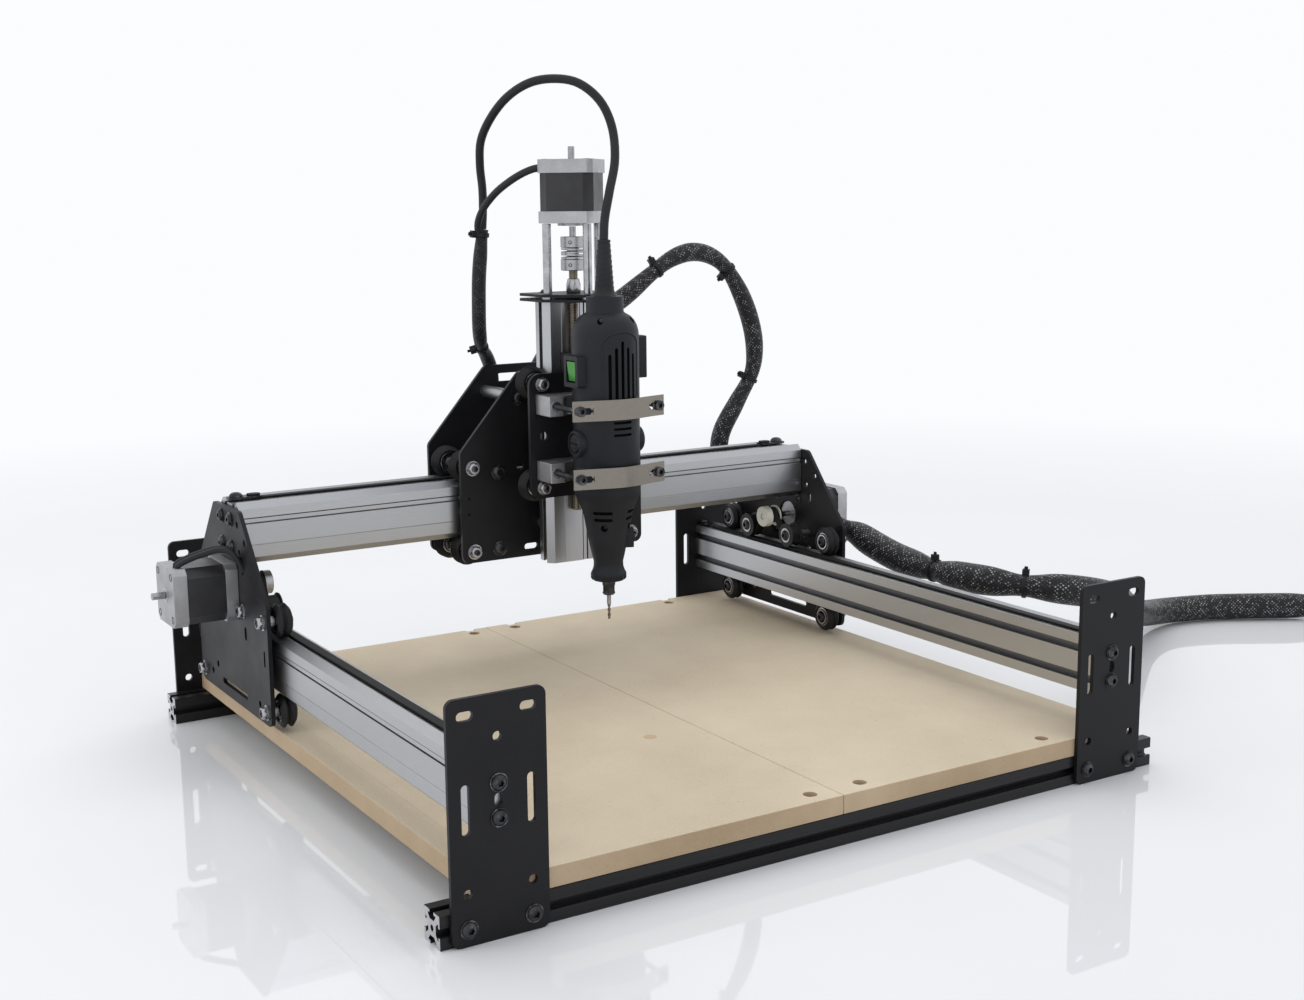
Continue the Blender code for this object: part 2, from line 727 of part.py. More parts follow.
def build_x_plate_front(x_carriage):
    """The plate that carries the Z rail on four spacers and the rear plate on two long tubes."""
    wheels = [(a * X_WHEEL_SPREAD, X_RAIL_Z + b * WHEEL_OFFSET) for a in (-1, 1) for b in (-1, 1)]
    tubes = [(a * 0.029, 0.2495) for a in (-1, 1)]
    spacers = [(a * 0.010, z) for a in (-1, 1) for z in (0.150, 0.250)]
    holes = []
    for side in (-1, 1):
        holes.append(circle((side * 0.029, 0.1965), 0.0033))
        holes.append(slot((side * 0.021, 0.1325), 0.012, 0.005))
        holes += [circle((side * 0.0735, z), 0.0012, 6) for z in (0.163, 0.175)]
    bolts = [(a * 0.0485, z) for a in (-1, 1) for z in (0.1337, 0.1936)]
    spacer_length = X_PLATE_FRONT_Y - Z_RAIL_BACK - GAP
    front = [nut(centre) for centre in wheels]
    front += [button_head(centre) for centre in bolts + tubes]
    front += [(centre, [(0.005, 0.0), (0.005, spacer_length)], HOLE_SIDES) for centre in spacers]
    inner_face = X_PLATE_FRONT_Y + PLATE_THICKNESS
    wheel_spacer = X_WHEEL_Y[0] - WHEEL_HALF_WIDTH - GAP - inner_face
    tube_length = X_PLATE_REAR_Y - GAP - inner_face
    back = [axle(centre, wheel_spacer, 2 * WHEEL_HALF_WIDTH) for centre in wheels]
    back += [(centre, [(0.005, 0.0), (0.005, tube_length)], HOLE_SIDES) for centre in tubes]
    bm = plate(in_y(1, 0, X_PLATE_FRONT_Y), PLATE_THICKNESS, x_plate_outline(), holes, front, back)
    part("x_plate_front", bm, "black_coated", x_carriage, (0, X_PLATE_FRONT_Y, X_RAIL_Z))


def build_x_plate_rear(x_carriage):
    """The plate behind the gantry, with the X motor's boss hole and the belt idlers."""
    wheels = [(a * X_WHEEL_SPREAD, X_RAIL_Z + b * WHEEL_OFFSET) for a in (-1, 1) for b in (-1, 1)]
    idlers = [(a * IDLER_SPREAD, X_IDLER_Z) for a in (-1, 1)]
    tubes = [(a * 0.029, 0.2495) for a in (-1, 1)]
    spread = MOTOR_SCREW_SPREAD
    screws = [(a * spread, X_PULLEY_Z + b * spread) for a in (-1, 1) for b in (-1, 1)]
    holes = [
        circle((0, X_PULLEY_Z), MOTOR_HOLE_RADIUS, 12),
        slot((0, 0.2598), 0.038, 0.0065),
        slot((-0.021, 0.1325), 0.012, 0.005),
        slot((0.021, 0.1325), 0.012, 0.005),
    ]
    wheel_spacer = X_PLATE_REAR_Y - X_WHEEL_Y[1] - WHEEL_HALF_WIDTH - GAP
    idler_spacer = X_PLATE_REAR_Y - X_BELT_Y - WHEEL_HALF_WIDTH - GAP
    front = [axle(centre, wheel_spacer, 2 * WHEEL_HALF_WIDTH) for centre in wheels]
    front += [axle(centre, idler_spacer, 2 * WHEEL_HALF_WIDTH) for centre in idlers]
    front += [button_head(centre, 0.003) for centre in screws]
    back = [button_head(centre) for centre in wheels + idlers + tubes]
    bm = plate(in_y(1, 0, X_PLATE_REAR_Y), PLATE_THICKNESS, x_plate_outline(), holes, front, back)
    part("x_plate_rear", bm, "black_coated", x_carriage, (0, X_PLATE_REAR_Y, X_RAIL_Z))


def build_z_motor_mount(x_carriage):
    """Two thin plates on top of the Z rail and three standoffs that hold the Z motor."""
    rods = [(-0.0219, SCREW_Y), (0.0219, SCREW_Y), (0, SCREW_Y - 0.0219)]
    corners = rods + [(-0.026, 0.098), (0.026, 0.098)]
    outline = hull([point for centre in corners for point in circle(centre, 0.006, 8)])
    thickness = 0.002
    lower = Z_RAIL_TOP + GAP
    upper = lower + 0.0037
    screw_hole = [circle((0, SCREW_Y), 0.0042)]
    standoffs = [
        (rod, [(SCREW_RADIUS, 0.0), (SCREW_RADIUS, Z_MOTOR_BASE - GAP - lower - thickness)], HOLE_SIDES)
        for rod in rods
    ]
    bm = plate(in_z(z=lower), thickness, outline, screw_hole, high_studs=standoffs)
    mount = part("z_motor_mount", bm, "bright_metal", x_carriage, (0, SCREW_Y, Z_RAIL_TOP))
    shape(mount, "UNION", "upper_plate", plate(in_z(z=upper), thickness, outline, screw_hole))


def build_z_motor(x_carriage):
    """The Z motor hangs over the lead screw, turned by an eighth of a turn."""
    turn = math.radians(45)
    across = Vector((math.cos(turn), math.sin(turn), 0))
    place = placed((0, SCREW_Y, Z_MOTOR_BASE), across, Z_AXIS.cross(across), Z_AXIS)
    motor("z_motor", place, x_carriage, (0, SCREW_Y, Z_MOTOR_BASE), 0.0095)


def build_lead_screw(x_carriage):
    """The lead screw with its bearing nut, the coupler, and the motor's shaft above it."""
    bearing = 0.0062
    coupler = 0.00925
    mount_top = Z_RAIL_TOP + GAP + 0.0057
    profile = [
        (SCREW_RADIUS, 0.165),
        (SCREW_RADIUS, mount_top + GAP),
        (bearing, mount_top + GAP),
        (bearing, 0.3410),
        (SCREW_RADIUS, 0.3410),
        (SCREW_RADIUS, 0.3470),
        (coupler, 0.3470),
        (coupler, 0.3720),
        (0.0025, 0.3720),
        (0.0025, Z_MOTOR_BASE - MOTOR_BOSS_HEIGHT - GAP),
    ]
    bm = turned(in_z(0, SCREW_Y), profile, 16)
    part("lead_screw", bm, "bright_metal", x_carriage, (0, SCREW_Y, 0.165))


# ---------------------------------------------------------------- Z carriage


def build_z_carriage(z_carriage, wheel_shape):
    build_z_plate(z_carriage)
    for height_name, z in zip(("lower", "upper"), Z_WHEEL_HEIGHTS):
        for side_name, side in SIDES:
            position = (side * WHEEL_OFFSET, Z_WHEEL_Y, z)
            name = f"z_wheel_{side_name}_{height_name}"
            wheel(name, wheel_shape, position, (math.pi / 2, 0, 0), z_carriage)
    for name, bottom in CLAMP_HEIGHTS:
        build_clamp(name, bottom, z_carriage)
    build_tool_body(z_carriage)
    build_power_switch(z_carriage)
    build_spindle(z_carriage)


def build_z_plate(z_carriage):
    """The plate that rides on the Z rail, with the lead screw's nut at its top."""
    top = 0.272
    outline = rounded(box_outline((-0.043, 0.178), (0.043, top)), 0.009, 4)
    wheels = [(side * WHEEL_OFFSET, z) for side in (-1, 1) for z in Z_WHEEL_HEIGHTS]
    holes = [circle((side * 0.0314, 0.225), 0.0035) for side in (-1, 1)]
    spacer = Z_WHEEL_Y - WHEEL_HALF_WIDTH - GAP - Z_PLATE_Y - PLATE_THICKNESS
    axles = [axle(centre, spacer, 2 * WHEEL_HALF_WIDTH) for centre in wheels]
    heads = [nut(centre) for centre in wheels]
    bm = plate(in_y(1, 0, Z_PLATE_Y), PLATE_THICKNESS, outline, holes, heads, axles)
    z_plate = part("z_plate", bm, "black_coated", z_carriage, (0, Z_PLATE_Y, 0.225))
    overlap = 0.0005
    front = 0.060
    profile = [
        (front, 0.258),
        (Z_PLATE_Y + overlap, 0.258),
        (Z_PLATE_Y + overlap, top - overlap),
        (0.0764, top - overlap),
        (0.0764, 0.286),
        (front, 0.286),
    ]
    shape(z_plate, "UNION", "screw_nut", plate(in_x(x=-0.010), 0.020, profile))
    bore = turned(in_z(0, SCREW_Y), [(0.0037, 0.250), (0.0037, 0.300)], 12)
    shape(z_plate, "DIFFERENCE", "screw_bore", bore)


def build_clamp(name, bottom, z_carriage):
    """A tool clamp: a block with a V in its front, a bowed strap, and the two long bolts that join them."""
    half = 0.0383
    block_front = 0.0435
    block_back = Z_PLATE_Y - GAP
    mouth = 0.0264
    block = [
        (-half, block_front),
        (-mouth, block_front),
        (-0.014, 0.0535),
        (0.014, 0.0535),
        (mouth, block_front),
        (half, block_front),
        (half, block_back),
        (-half, block_back),
    ]
    clamp = part(
        f"clamp_{name}",
        plate(in_z(z=bottom), CLAMP_DEPTH, block),
        "bright_metal",
        z_carriage,
        (0, block_back, bottom),
    )
    bow = [(half, 0.0110), (0.026, 0.0080), (0.012, 0.0036), (0.0, 0.0020)]
    rear = bow + [(-x, y) for x, y in reversed(bow[:-1])]
    strap = rear + [(x, y - 0.002) for x, y in reversed(rear)]
    shape(clamp, "UNION", "strap", plate(in_z(z=bottom), CLAMP_DEPTH, strap))
    bolt_x = 0.033
    for side_name, side in SIDES:
        head_centre = (side * bolt_x, block_front + 0.002, bottom + CLAMP_DEPTH / 2)
        place = placed(head_centre, X_AXIS, Z_AXIS, -Y_AXIS)
        length = block_front + 0.002 - 0.0055
        head = 0.003
        profile = [(0.0021, 0.0), (0.0021, length - head), (0.0038, length - head), (0.0038, length)]
        shape(clamp, "UNION", f"bolt_{side_name}", turned(place, profile, 10))


def build_tool_body(z_carriage):
    """The hand tool's shell, with its brush caps, side rail, switch housing and cord boot."""
    profile = [
        (0.0115, 0.1187),
        (0.0125, 0.1200),
        (0.0132, 0.1240),
        (0.0116, 0.1300),
        (0.0125, 0.1380),
        (0.0185, 0.1710),
        (0.0235, 0.1775),
        (TOOL_RADIUS, 0.1830),
        (TOOL_RADIUS, 0.3010),
        (0.0240, 0.3070),
        (0.0220, 0.3120),
        (0.0180, 0.3165),
        (0.0137, 0.3190),
        (0.0137, 0.3300),
        (0.0070, 0.3300),
        (0.0045, 0.3700),
    ]
    shell = turned(in_z(0, TOOL_Y), profile, 20)
    tool = part("tool_body", shell, "tool_plastic", z_carriage, (0, TOOL_Y, 0.225))
    for side_name, side in SIDES:
        cap = [(0.010, 0.0), (0.010, 0.0060), (0.0075, 0.0072)]
        shape(tool, "UNION", f"brush_cap_{side_name}", turned(in_x(side, 0.0205, TOOL_Y, 0.2235), cap, 12))
    rail = box_outline((TOOL_Y - 0.006, 0.269), (TOOL_Y + 0.006, 0.300))
    shape(tool, "UNION", "side_rail", plate(in_x(1, 0.022), 0.010, rail))
    housing = box_outline((TOOL_Y - 0.010, 0.265), (TOOL_Y + 0.010, 0.288))
    shape(tool, "UNION", "switch_housing", plate(in_x(-1, 0.016), 0.0135, housing))
    recess = box_outline((TOOL_Y - 0.0065, 0.2685), (TOOL_Y + 0.0065, 0.2845))
    shape(tool, "DIFFERENCE", "switch_recess", plate(in_x(-1, 0.0235), 0.010, recess))


def build_power_switch(z_carriage):
    """The rocker: two flats that meet over its hinge, so that one end stands out."""
    half_height = 0.0072
    half_width = 0.0062
    outline = [
        (0.0008, -half_height),
        (0.0008, half_height),
        (-0.0030, half_height),
        (-0.0024, 0.0),
        (-0.0014, -half_height),
    ]
    corner = SWITCH_HINGE - half_width * Y_AXIS
    place = placed(corner, X_AXIS, Z_AXIS, Y_AXIS)
    part("power_switch", plate(place, 2 * half_width, outline), "green_plastic", z_carriage, SWITCH_HINGE)


def build_spindle(z_carriage):
    """The collet nut with its collet and the milling bit."""
    profile = [
        (0.0012, 0.0885),
        (0.0012, 0.0990),
        (0.0016, 0.1000),
        (0.0016, 0.1070),
        (0.0032, 0.1070),
        (0.0050, 0.1084),
        (0.0050, 0.1184),
    ]
    part("spindle", turned(in_z(0, TOOL_Y), profile, 12), "black_coated", z_carriage, (0, TOOL_Y, 0.1184))


# ---------------------------------------------------------------- cords

SPINDLE_CORD_ROUTE = [
    (0.0000, 0.0270, 0.3703),
    (0.0010, 0.0270, 0.3850),
    (0.0060, 0.0280, 0.4050),
    (0.0120, 0.0300, 0.4270),
    (0.0130, 0.0350, 0.4500),
    (0.0080, 0.0430, 0.4690),
    (-0.0020, 0.0560, 0.4820),
    (-0.0130, 0.0720, 0.4860),
    (-0.0240, 0.0900, 0.4840),
    (-0.0330, 0.1080, 0.4750),
    (-0.0390, 0.1240, 0.4610),
    (-0.0420, 0.1370, 0.4440),
    (-0.0405, 0.1430, 0.4260),
    (-0.0375, 0.1460, 0.4080),
    (-0.0365, 0.1480, 0.3920),
    (-0.0370, 0.1490, 0.3773),
]
CARRIAGE_HARNESS_ROUTE = [
    (-0.0370, 0.1490, 0.3770),
    (-0.0385, 0.1500, 0.3600),
    (-0.0405, 0.1500, 0.3400),
    (-0.0410, 0.1505, 0.3200),
    (-0.0400, 0.1530, 0.3030),
    (-0.0360, 0.1600, 0.2920),
    (-0.0300, 0.1700, 0.2840),
    (-0.0220, 0.1790, 0.2770),
    (-0.0150, 0.1860, 0.2670),
    (-0.0120, 0.1890, 0.2550),
    (-0.0120, 0.1890, 0.2324),
]
LOOP_HARNESS_ROUTE = [
    (0.0305, 0.2000, 0.2100),
    (0.0305, 0.2000, 0.2250),
    (0.0310, 0.2000, 0.2400),
    (0.0342, 0.1990, 0.2560),
    (0.0415, 0.1967, 0.2705),
    (0.0525, 0.1933, 0.2830),
    (0.0670, 0.1893, 0.2935),
    (0.0850, 0.1850, 0.3040),
    (0.1080, 0.1800, 0.3180),
    (0.1340, 0.1750, 0.3380),
    (0.1530, 0.1750, 0.3490),
    (0.1720, 0.1750, 0.3540),
    (0.1910, 0.1750, 0.3510),
    (0.2080, 0.1750, 0.3400),
    (0.2230, 0.1750, 0.3190),
    (0.2340, 0.1750, 0.2940),
    (0.2395, 0.1760, 0.2700),
    (0.2380, 0.1780, 0.2470),
    (0.2238, 0.1810, 0.2212),
    (0.2096, 0.1830, 0.1967),
    (0.2071, 0.1840, 0.1773),
    (0.2123, 0.1840, 0.1604),
    (0.2228, 0.1840, 0.1479),
    (0.2336, 0.1840, 0.1415),
    (0.2425, 0.1840, 0.1384),
]
MAIN_HARNESS_ROUTE = [
    (0.2800, 0.1180, 0.1140),
    (0.2800, 0.0980, 0.1140),
    (0.2800, 0.0800, 0.1130),
    (0.2800, 0.0560, 0.1070),
    (0.2800, 0.0230, 0.1010),
    (0.2800, -0.0150, 0.0990),
    (0.2805, -0.0480, 0.0995),
    (0.2840, -0.0760, 0.1005),
    (0.2970, -0.1040, 0.1000),
    (0.3180, -0.1210, 0.0980),
    (0.3440, -0.1260, 0.0930),
    (0.3730, -0.1180, 0.0850),
    (0.4020, -0.1010, 0.0750),
    (0.4320, -0.0810, 0.0640),
    (0.4650, -0.0580, 0.0510),
    (0.5100, -0.0270, 0.0340),
    (0.5550, 0.0010, 0.0200),
    (0.6000, 0.0140, 0.0135),
    (0.6450, 0.0040, 0.0125),
    (0.6870, -0.0190, 0.0125),
    (0.7240, -0.0420, 0.0125),
    (0.7500, -0.0580, 0.0125),
]


def build_cords(gantry, x_carriage):
    cord("spindle_cord", SPINDLE_CORD_ROUTE, SPINDLE_CORD_RADIUS, "black_rubber", x_carriage)
    cord("carriage_harness", CARRIAGE_HARNESS_ROUTE, CARRIAGE_HARNESS_RADIUS, "black_sleeve", x_carriage)
    cord("loop_harness", LOOP_HARNESS_ROUTE, LOOP_HARNESS_RADIUS, "black_sleeve", gantry)
    cord("main_harness", MAIN_HARNESS_ROUTE, MAIN_HARNESS_RADIUS, "black_sleeve", gantry)
    build_connector(gantry)


def build_connector(gantry):
    """The plug at the main harness's far end: a round shell, its locking ring and a narrower nose."""
    end = Vector(MAIN_HARNESS_ROUTE[-1])
    before = Vector(MAIN_HARNESS_ROUTE[-2])
    along = (end - before).normalized()
    across = Z_AXIS.cross(along)
    place = placed(end, across, Z_AXIS, along)
    profile = [
        (0.0105, GAP),
        (0.0105, 0.014),
        (0.0122, 0.016),
        (0.0122, 0.028),
        (0.0095, 0.029),
        (0.0095, 0.042),
    ]
    part("harness_connector", turned(place, profile, 16), "black_nylon", gantry, end)


# ---------------------------------------------------------------- assembly


def build():
    clear_scene()
    gantry = carrier("gantry", (0, GANTRY_Y, X_RAIL_Z))
    x_carriage = carrier("x_carriage", (0, GANTRY_Y, X_RAIL_Z), gantry)
    z_carriage = carrier("z_carriage", (0, SCREW_Y, 0.225), x_carriage)
    wheel_shape = wheel_mesh()
    build_base()
    build_gantry(gantry, wheel_shape)
    build_x_carriage(x_carriage, wheel_shape)
    build_z_carriage(z_carriage, wheel_shape)
    build_cords(gantry, x_carriage)


build()
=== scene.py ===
"""Looks of a desktop CNC router: camera, cords, detailed hardware and materials around its model.

Everything is in metres, with X along the gantry, Y to the machine's back and Z up.
"""

import math

import bmesh
import bpy
from mathutils import Matrix, Vector


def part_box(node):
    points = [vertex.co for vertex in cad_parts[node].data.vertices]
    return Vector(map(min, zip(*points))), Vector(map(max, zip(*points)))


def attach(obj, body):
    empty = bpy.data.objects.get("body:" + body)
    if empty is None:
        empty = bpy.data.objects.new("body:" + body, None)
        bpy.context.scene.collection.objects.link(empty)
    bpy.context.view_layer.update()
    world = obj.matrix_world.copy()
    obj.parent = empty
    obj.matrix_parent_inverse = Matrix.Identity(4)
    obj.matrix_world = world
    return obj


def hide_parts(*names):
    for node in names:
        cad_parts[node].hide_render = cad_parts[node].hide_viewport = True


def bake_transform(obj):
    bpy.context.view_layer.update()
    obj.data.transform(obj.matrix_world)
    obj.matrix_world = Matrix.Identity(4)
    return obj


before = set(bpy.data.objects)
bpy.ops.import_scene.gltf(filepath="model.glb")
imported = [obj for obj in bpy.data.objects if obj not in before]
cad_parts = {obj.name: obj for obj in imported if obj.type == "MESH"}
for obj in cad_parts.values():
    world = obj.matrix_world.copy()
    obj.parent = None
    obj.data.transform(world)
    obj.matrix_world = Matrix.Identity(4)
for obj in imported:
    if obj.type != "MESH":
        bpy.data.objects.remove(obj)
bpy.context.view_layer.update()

X_AXIS = Vector((1, 0, 0))
Y_AXIS = Vector((0, 1, 0))
Z_AXIS = Vector((0, 0, 1))
SIDES = (("left", -1), ("right", 1))

# Machine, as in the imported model
PLATE = 0.003
GANTRY_Y = 0.14
Y_PLATE_X = 0.25
V_RAIL_HALF = 0.02
Y_RAIL_BACK = 0.225  # |x| of the side rails' back faces
Y_RAIL_Z = 0.08
Y_WHEEL_X = 0.24
Y_WHEEL_SPREAD = 0.07
Y_BELT_X = 0.232
Y_PULLEY_Z = 0.1246
Y_IDLER_Z = 0.1123
IDLER_SPREAD = 0.029
WHEEL_OFFSET = 0.0324
WHEEL_HALF = 0.0055
X_RAIL_Z = 0.166
X_PLATE_FRONT_Y = 0.11
X_PLATE_REAR_Y = 0.1673
X_WHEEL_SPREAD = 0.07
X_WHEEL_Y = (0.125, 0.1553)
X_BELT_Y = 0.1473
X_BELT_Z = 0.187
X_PULLEY_Z = 0.2106
X_IDLER_Z = 0.1983
MOTOR_HALF = 0.02115
MOTOR_LONG = 0.0464
SCREW_SPREAD = 0.0155
SCREW_Y = 0.073
Z_MOTOR_BASE = 0.382
Z_PLATE_Y = 0.066
Z_WHEEL_Y = 0.082
Z_WHEEL_HEIGHTS = (("lower", 0.186), ("upper", 0.264))
TOOL_Y = 0.027
TOOL_RADIUS = 0.0247
CLAMP_HEIGHTS = (("lower", 0.1925), ("upper", 0.242))
CLAMP_DEPTH = 0.015
SWITCH_HINGE = (-0.0263, TOOL_Y, 0.2765)
END_PLATE_Y = 0.2503  # |y| of the end plates' inner faces
BELT_LONG = 0.494
BELT_WIDE = 0.006
HALF_BELT = 0.0007  # half of the belt's thickness
IDLER_RADIUS = 0.0088
PULLEY_RADIUS = 0.0064
BOSS_HOLE = 0.0115
MOTOR_GAP = 0.0003
SHELL_CORNERS = (-40, 40, 140, -140)  # degrees round the tool from its front
DOME_SCREW_Z = 0.3128
NOSE_SCREW_Z = 0.1605
TABLE_RADIUS = 1.9

# Camera
CAMERA_PLACE = (-0.62052, -1.03231, 0.39982)
CAMERA_AZIMUTH = 0.5568
CAMERA_DIP = 0.1782
CAMERA_ROLL = -0.0097
CAMERA_FOCAL_MM = 46.32

# ---------------------------------------------------------------- nodes of a material


class Finish:
    """A node-based material, built one node at a time."""

    def __init__(self, name):
        self.material = bpy.data.materials.new(name)
        self.material.use_nodes = True
        self.tree = self.material.node_tree
        self.tree.nodes.clear()
        self.shader = self.add("ShaderNodeBsdfPrincipled")
        output = self.add("ShaderNodeOutputMaterial")
        self.link(self.shader.outputs[0], output.inputs["Surface"])

    def add(self, kind, **settings):
        node = self.tree.nodes.new(kind)
        for key, value in settings.items():
            setattr(node, key, value)
        return node

    def link(self, source, target):
        self.tree.links.new(source, target)

    def feed(self, target, value):
        if isinstance(value, bpy.types.NodeSocket):
            self.link(value, target)
        else:
            target.default_value = value

    def math(self, operation, *values):
        node = self.add("ShaderNodeMath", operation=operation)
        for socket, value in zip(node.inputs, values):
            self.feed(socket, value)
        return node.outputs[0]

    def place(self, scale=(1, 1, 1), rotation=(0, 0, 0)):
        coordinates = self.add("ShaderNodeTexCoord").outputs["Object"]
        mapping = self.add("ShaderNodeMapping")
        self.link(coordinates, mapping.inputs["Vector"])
        mapping.inputs["Scale"].default_value = scale
        mapping.inputs["Rotation"].default_value = rotation
        return mapping.outputs[0]

    def noise(self, vector, scale, detail=4.0, roughness=0.6):
        node = self.add("ShaderNodeTexNoise")
        self.link(vector, node.inputs["Vector"])
        node.inputs["Scale"].default_value = scale
        node.inputs["Detail"].default_value = detail
        node.inputs["Roughness"].default_value = roughness
        return node.outputs[0]

    def span(self, value, low, high, to_low=0.0, to_high=1.0):
        node = self.add("ShaderNodeMapRange")
        self.link(value, node.inputs["Value"])
        for name, number in zip(
            ("From Min", "From Max", "To Min", "To Max"), (low, high, to_low, to_high)
        ):
            node.inputs[name].default_value = number
        return node.outputs[0]

    def mix(self, share, first, second):
        node = self.add("ShaderNodeMix", data_type="RGBA")
        self.feed(node.inputs[0], share)
        for socket, value in ((node.inputs[6], first), (node.inputs[7], second)):
            if isinstance(value, tuple):
                value = (*value, 1.0)
            self.feed(socket, value)
        return node.outputs[2]

    def bump(self, height, strength, depth=0.0005):
        node = self.add("ShaderNodeBump")
        node.inputs["Strength"].default_value = strength
        node.inputs["Distance"].default_value = depth
        self.link(height, node.inputs["Height"])
        self.link(node.outputs[0], self.shader.inputs["Normal"])

    def edge_wear(self, vector, amount):
        """How far an outer edge is rubbed, from the mesh's convexity broken up by noise."""
        pointiness = self.add("ShaderNodeNewGeometry").outputs["Pointiness"]
        edge = self.span(pointiness, 0.53, 0.62)
        patches = self.span(self.noise(vector, 180.0), 0.48, 0.62)
        return self.math("MULTIPLY", self.math("MULTIPLY", edge, patches), amount)

    def parts(self, vector):
        node = self.add("ShaderNodeSeparateXYZ")
        self.link(vector, node.inputs[0])
        return node.outputs

    def done(self, **values):
        """The material, once the shader's named inputs have their values or links."""
        for key, value in values.items():
            self.feed(self.shader.inputs[key.replace("_", " ")], value)
        return self.material


def metal(name, dark, light, roughness, grain=(1, 1, 1), scale=40.0, bump=0.04, wear=0.0):
    """Metal whose colour clouds, roughness and fine marks run along its grain."""
    finish = Finish(name)
    vector = finish.place(grain)
    cloud = finish.span(finish.noise(vector, scale), 0.3, 0.7)
    fine = finish.noise(vector, scale * 14, 3.0)
    colour = finish.mix(cloud, dark, light)
    if wear:
        colour = finish.mix(finish.edge_wear(finish.place(), wear), colour, (0.75, 0.75, 0.76))
    finish.bump(fine, bump)
    shine = finish.span(fine, 0.25, 0.75, *roughness)
    return finish.done(Base_Color=colour, Roughness=shine, Metallic=1.0)


def coating(name, dark, light, roughness, bump, bump_scale=700.0, dust_colour=(0.06, 0.06, 0.06)):
    """Paint, powder coat, plastic or rubber: a mottled colour over a fine pebbled surface."""
    finish = Finish(name)
    vector = finish.place()
    cloud = finish.span(finish.noise(vector, 22.0, 6.0), 0.3, 0.7)
    pebbles = finish.noise(vector, bump_scale, 2.0)
    dust = finish.span(finish.noise(vector, 900.0, 1.0), 0.7, 0.78, 0.0, 0.35)
    colour = finish.mix(dust, finish.mix(cloud, dark, light), dust_colour)
    patch = finish.math("MULTIPLY_ADD", pebbles, 0.4, finish.math("MULTIPLY", cloud, 0.6))
    finish.bump(pebbles, bump)
    shine = finish.span(patch, 0.2, 0.8, *roughness)
    return finish.done(Base_Color=colour, Roughness=shine, Specular_IOR_Level=0.22)


def cut_extrusion():
    """Black anodised extrusion with the bare metal of its sawn ends."""
    finish = Finish("black_anodised_extrusion")
    lines = finish.noise(finish.place((3, 260, 260)), 3.0)
    normal = finish.add("ShaderNodeNewGeometry").outputs["True Normal"]
    sawn = finish.math("GREATER_THAN", finish.math("ABSOLUTE", finish.parts(normal)[0]), 0.9)
    saw_marks = finish.noise(finish.place((1, 60, 900)), 3.0)
    bare = finish.mix(saw_marks, (0.45, 0.45, 0.46), (0.72, 0.72, 0.73))
    black = finish.mix(finish.span(lines, 0.3, 0.7), (0.005, 0.005, 0.006), (0.014, 0.014, 0.015))
    finish.bump(lines, 0.06)
    shine = finish.span(lines, 0.2, 0.8, 0.28, 0.42)
    colour = finish.mix(sawn, black, bare)
    return finish.done(Base_Color=colour, Roughness=shine, Metallic=sawn, Specular_IOR_Level=0.3)


def fibreboard(name, dark, light, streaks):
    """Fibreboard: soft stains, fine felted fibres and dark specks; its cut edge has layers."""
    finish = Finish(name)
    vector = finish.place()
    stains = finish.span(finish.noise(vector, 7.0, 5.0), 0.35, 0.68)
    fibres = finish.noise(finish.place((1.0, 1.6, streaks), (0, 0, 0.5)), 520.0, 4.0, 0.7)
    specks = finish.span(finish.noise(vector, 420.0, 2.0), 0.66, 0.74, 0.0, 0.45)
    felt = finish.span(fibres, 0.3, 0.7, 0.0, 0.4)
    felted = finish.mix(felt, finish.mix(stains, dark, light), tuple(1.18 * c for c in light))
    speckled = finish.mix(specks, felted, tuple(0.45 * c for c in dark))
    finish.bump(fibres, 0.22)
    shine = finish.span(fibres, 0.3, 0.7, 0.62, 0.82)
    return finish.done(Base_Color=speckled, Roughness=shine, Specular_IOR_Level=0.35)


def laminated_black():
    """A motor's body: black lacquer over stacked steel sheets."""
    finish = Finish("motor_laminations")
    vector = finish.place()
    height = 0.0
    for axis in "XYZ":
        sheet = finish.add("ShaderNodeTexWave", bands_direction=axis)
        finish.link(vector, sheet.inputs["Vector"])
        sheet.inputs["Scale"].default_value = 320.0
        height = finish.math("ADD", sheet.outputs["Fac"], height)
    cloud = finish.span(finish.noise(vector, 60.0), 0.3, 0.7)
    colour = finish.mix(cloud, (0.01, 0.01, 0.011), (0.022, 0.022, 0.025))
    finish.bump(height, 0.05)
    return finish.done(Base_Color=colour, Roughness=finish.span(cloud, 0.0, 1.0, 0.34, 0.48))


def braid(name, around, strand, dark, painted_gleam):
    """A braided sleeve: two families of strands cross over the bundle of wires inside; the lighter
    colour in the gaps between strands is a painted highlight.
    """
    finish = Finish(name)
    u, v, _ = finish.parts(finish.add("ShaderNodeUVMap", uv_map="sleeve").outputs[0])
    turn = finish.math("MULTIPLY", u, around)
    rise = finish.math("DIVIDE", v, strand)
    bands = []
    for operation in ("ADD", "SUBTRACT"):
        phase = finish.math("MULTIPLY", finish.math(operation, turn, rise), math.pi)
        bands.append(finish.math("ABSOLUTE", finish.math("SINE", phase)))
    height = finish.math("MAXIMUM", *bands)
    gap = finish.math("SUBTRACT", 1.0, height)
    # Painted highlight: a lighter glint colour painted into the strand gaps, in noisy patches.
    patches = finish.noise(finish.place(), 260.0, 2.0)
    painted_glints = finish.math("MULTIPLY", finish.span(gap, 0.2, 0.5), finish.span(patches, 0.48, 0.62))
    wires = finish.mix(finish.noise(finish.place(), 500.0), dark, tuple(1.5 * c for c in dark))
    finish.bump(height, 0.85, 0.0008)
    colour = finish.mix(painted_glints, wires, painted_gleam)
    shine = finish.span(height, 0.3, 1.0, 0.62, 0.34)
    return finish.done(Base_Color=colour, Roughness=shine, Specular_IOR_Level=0.3)


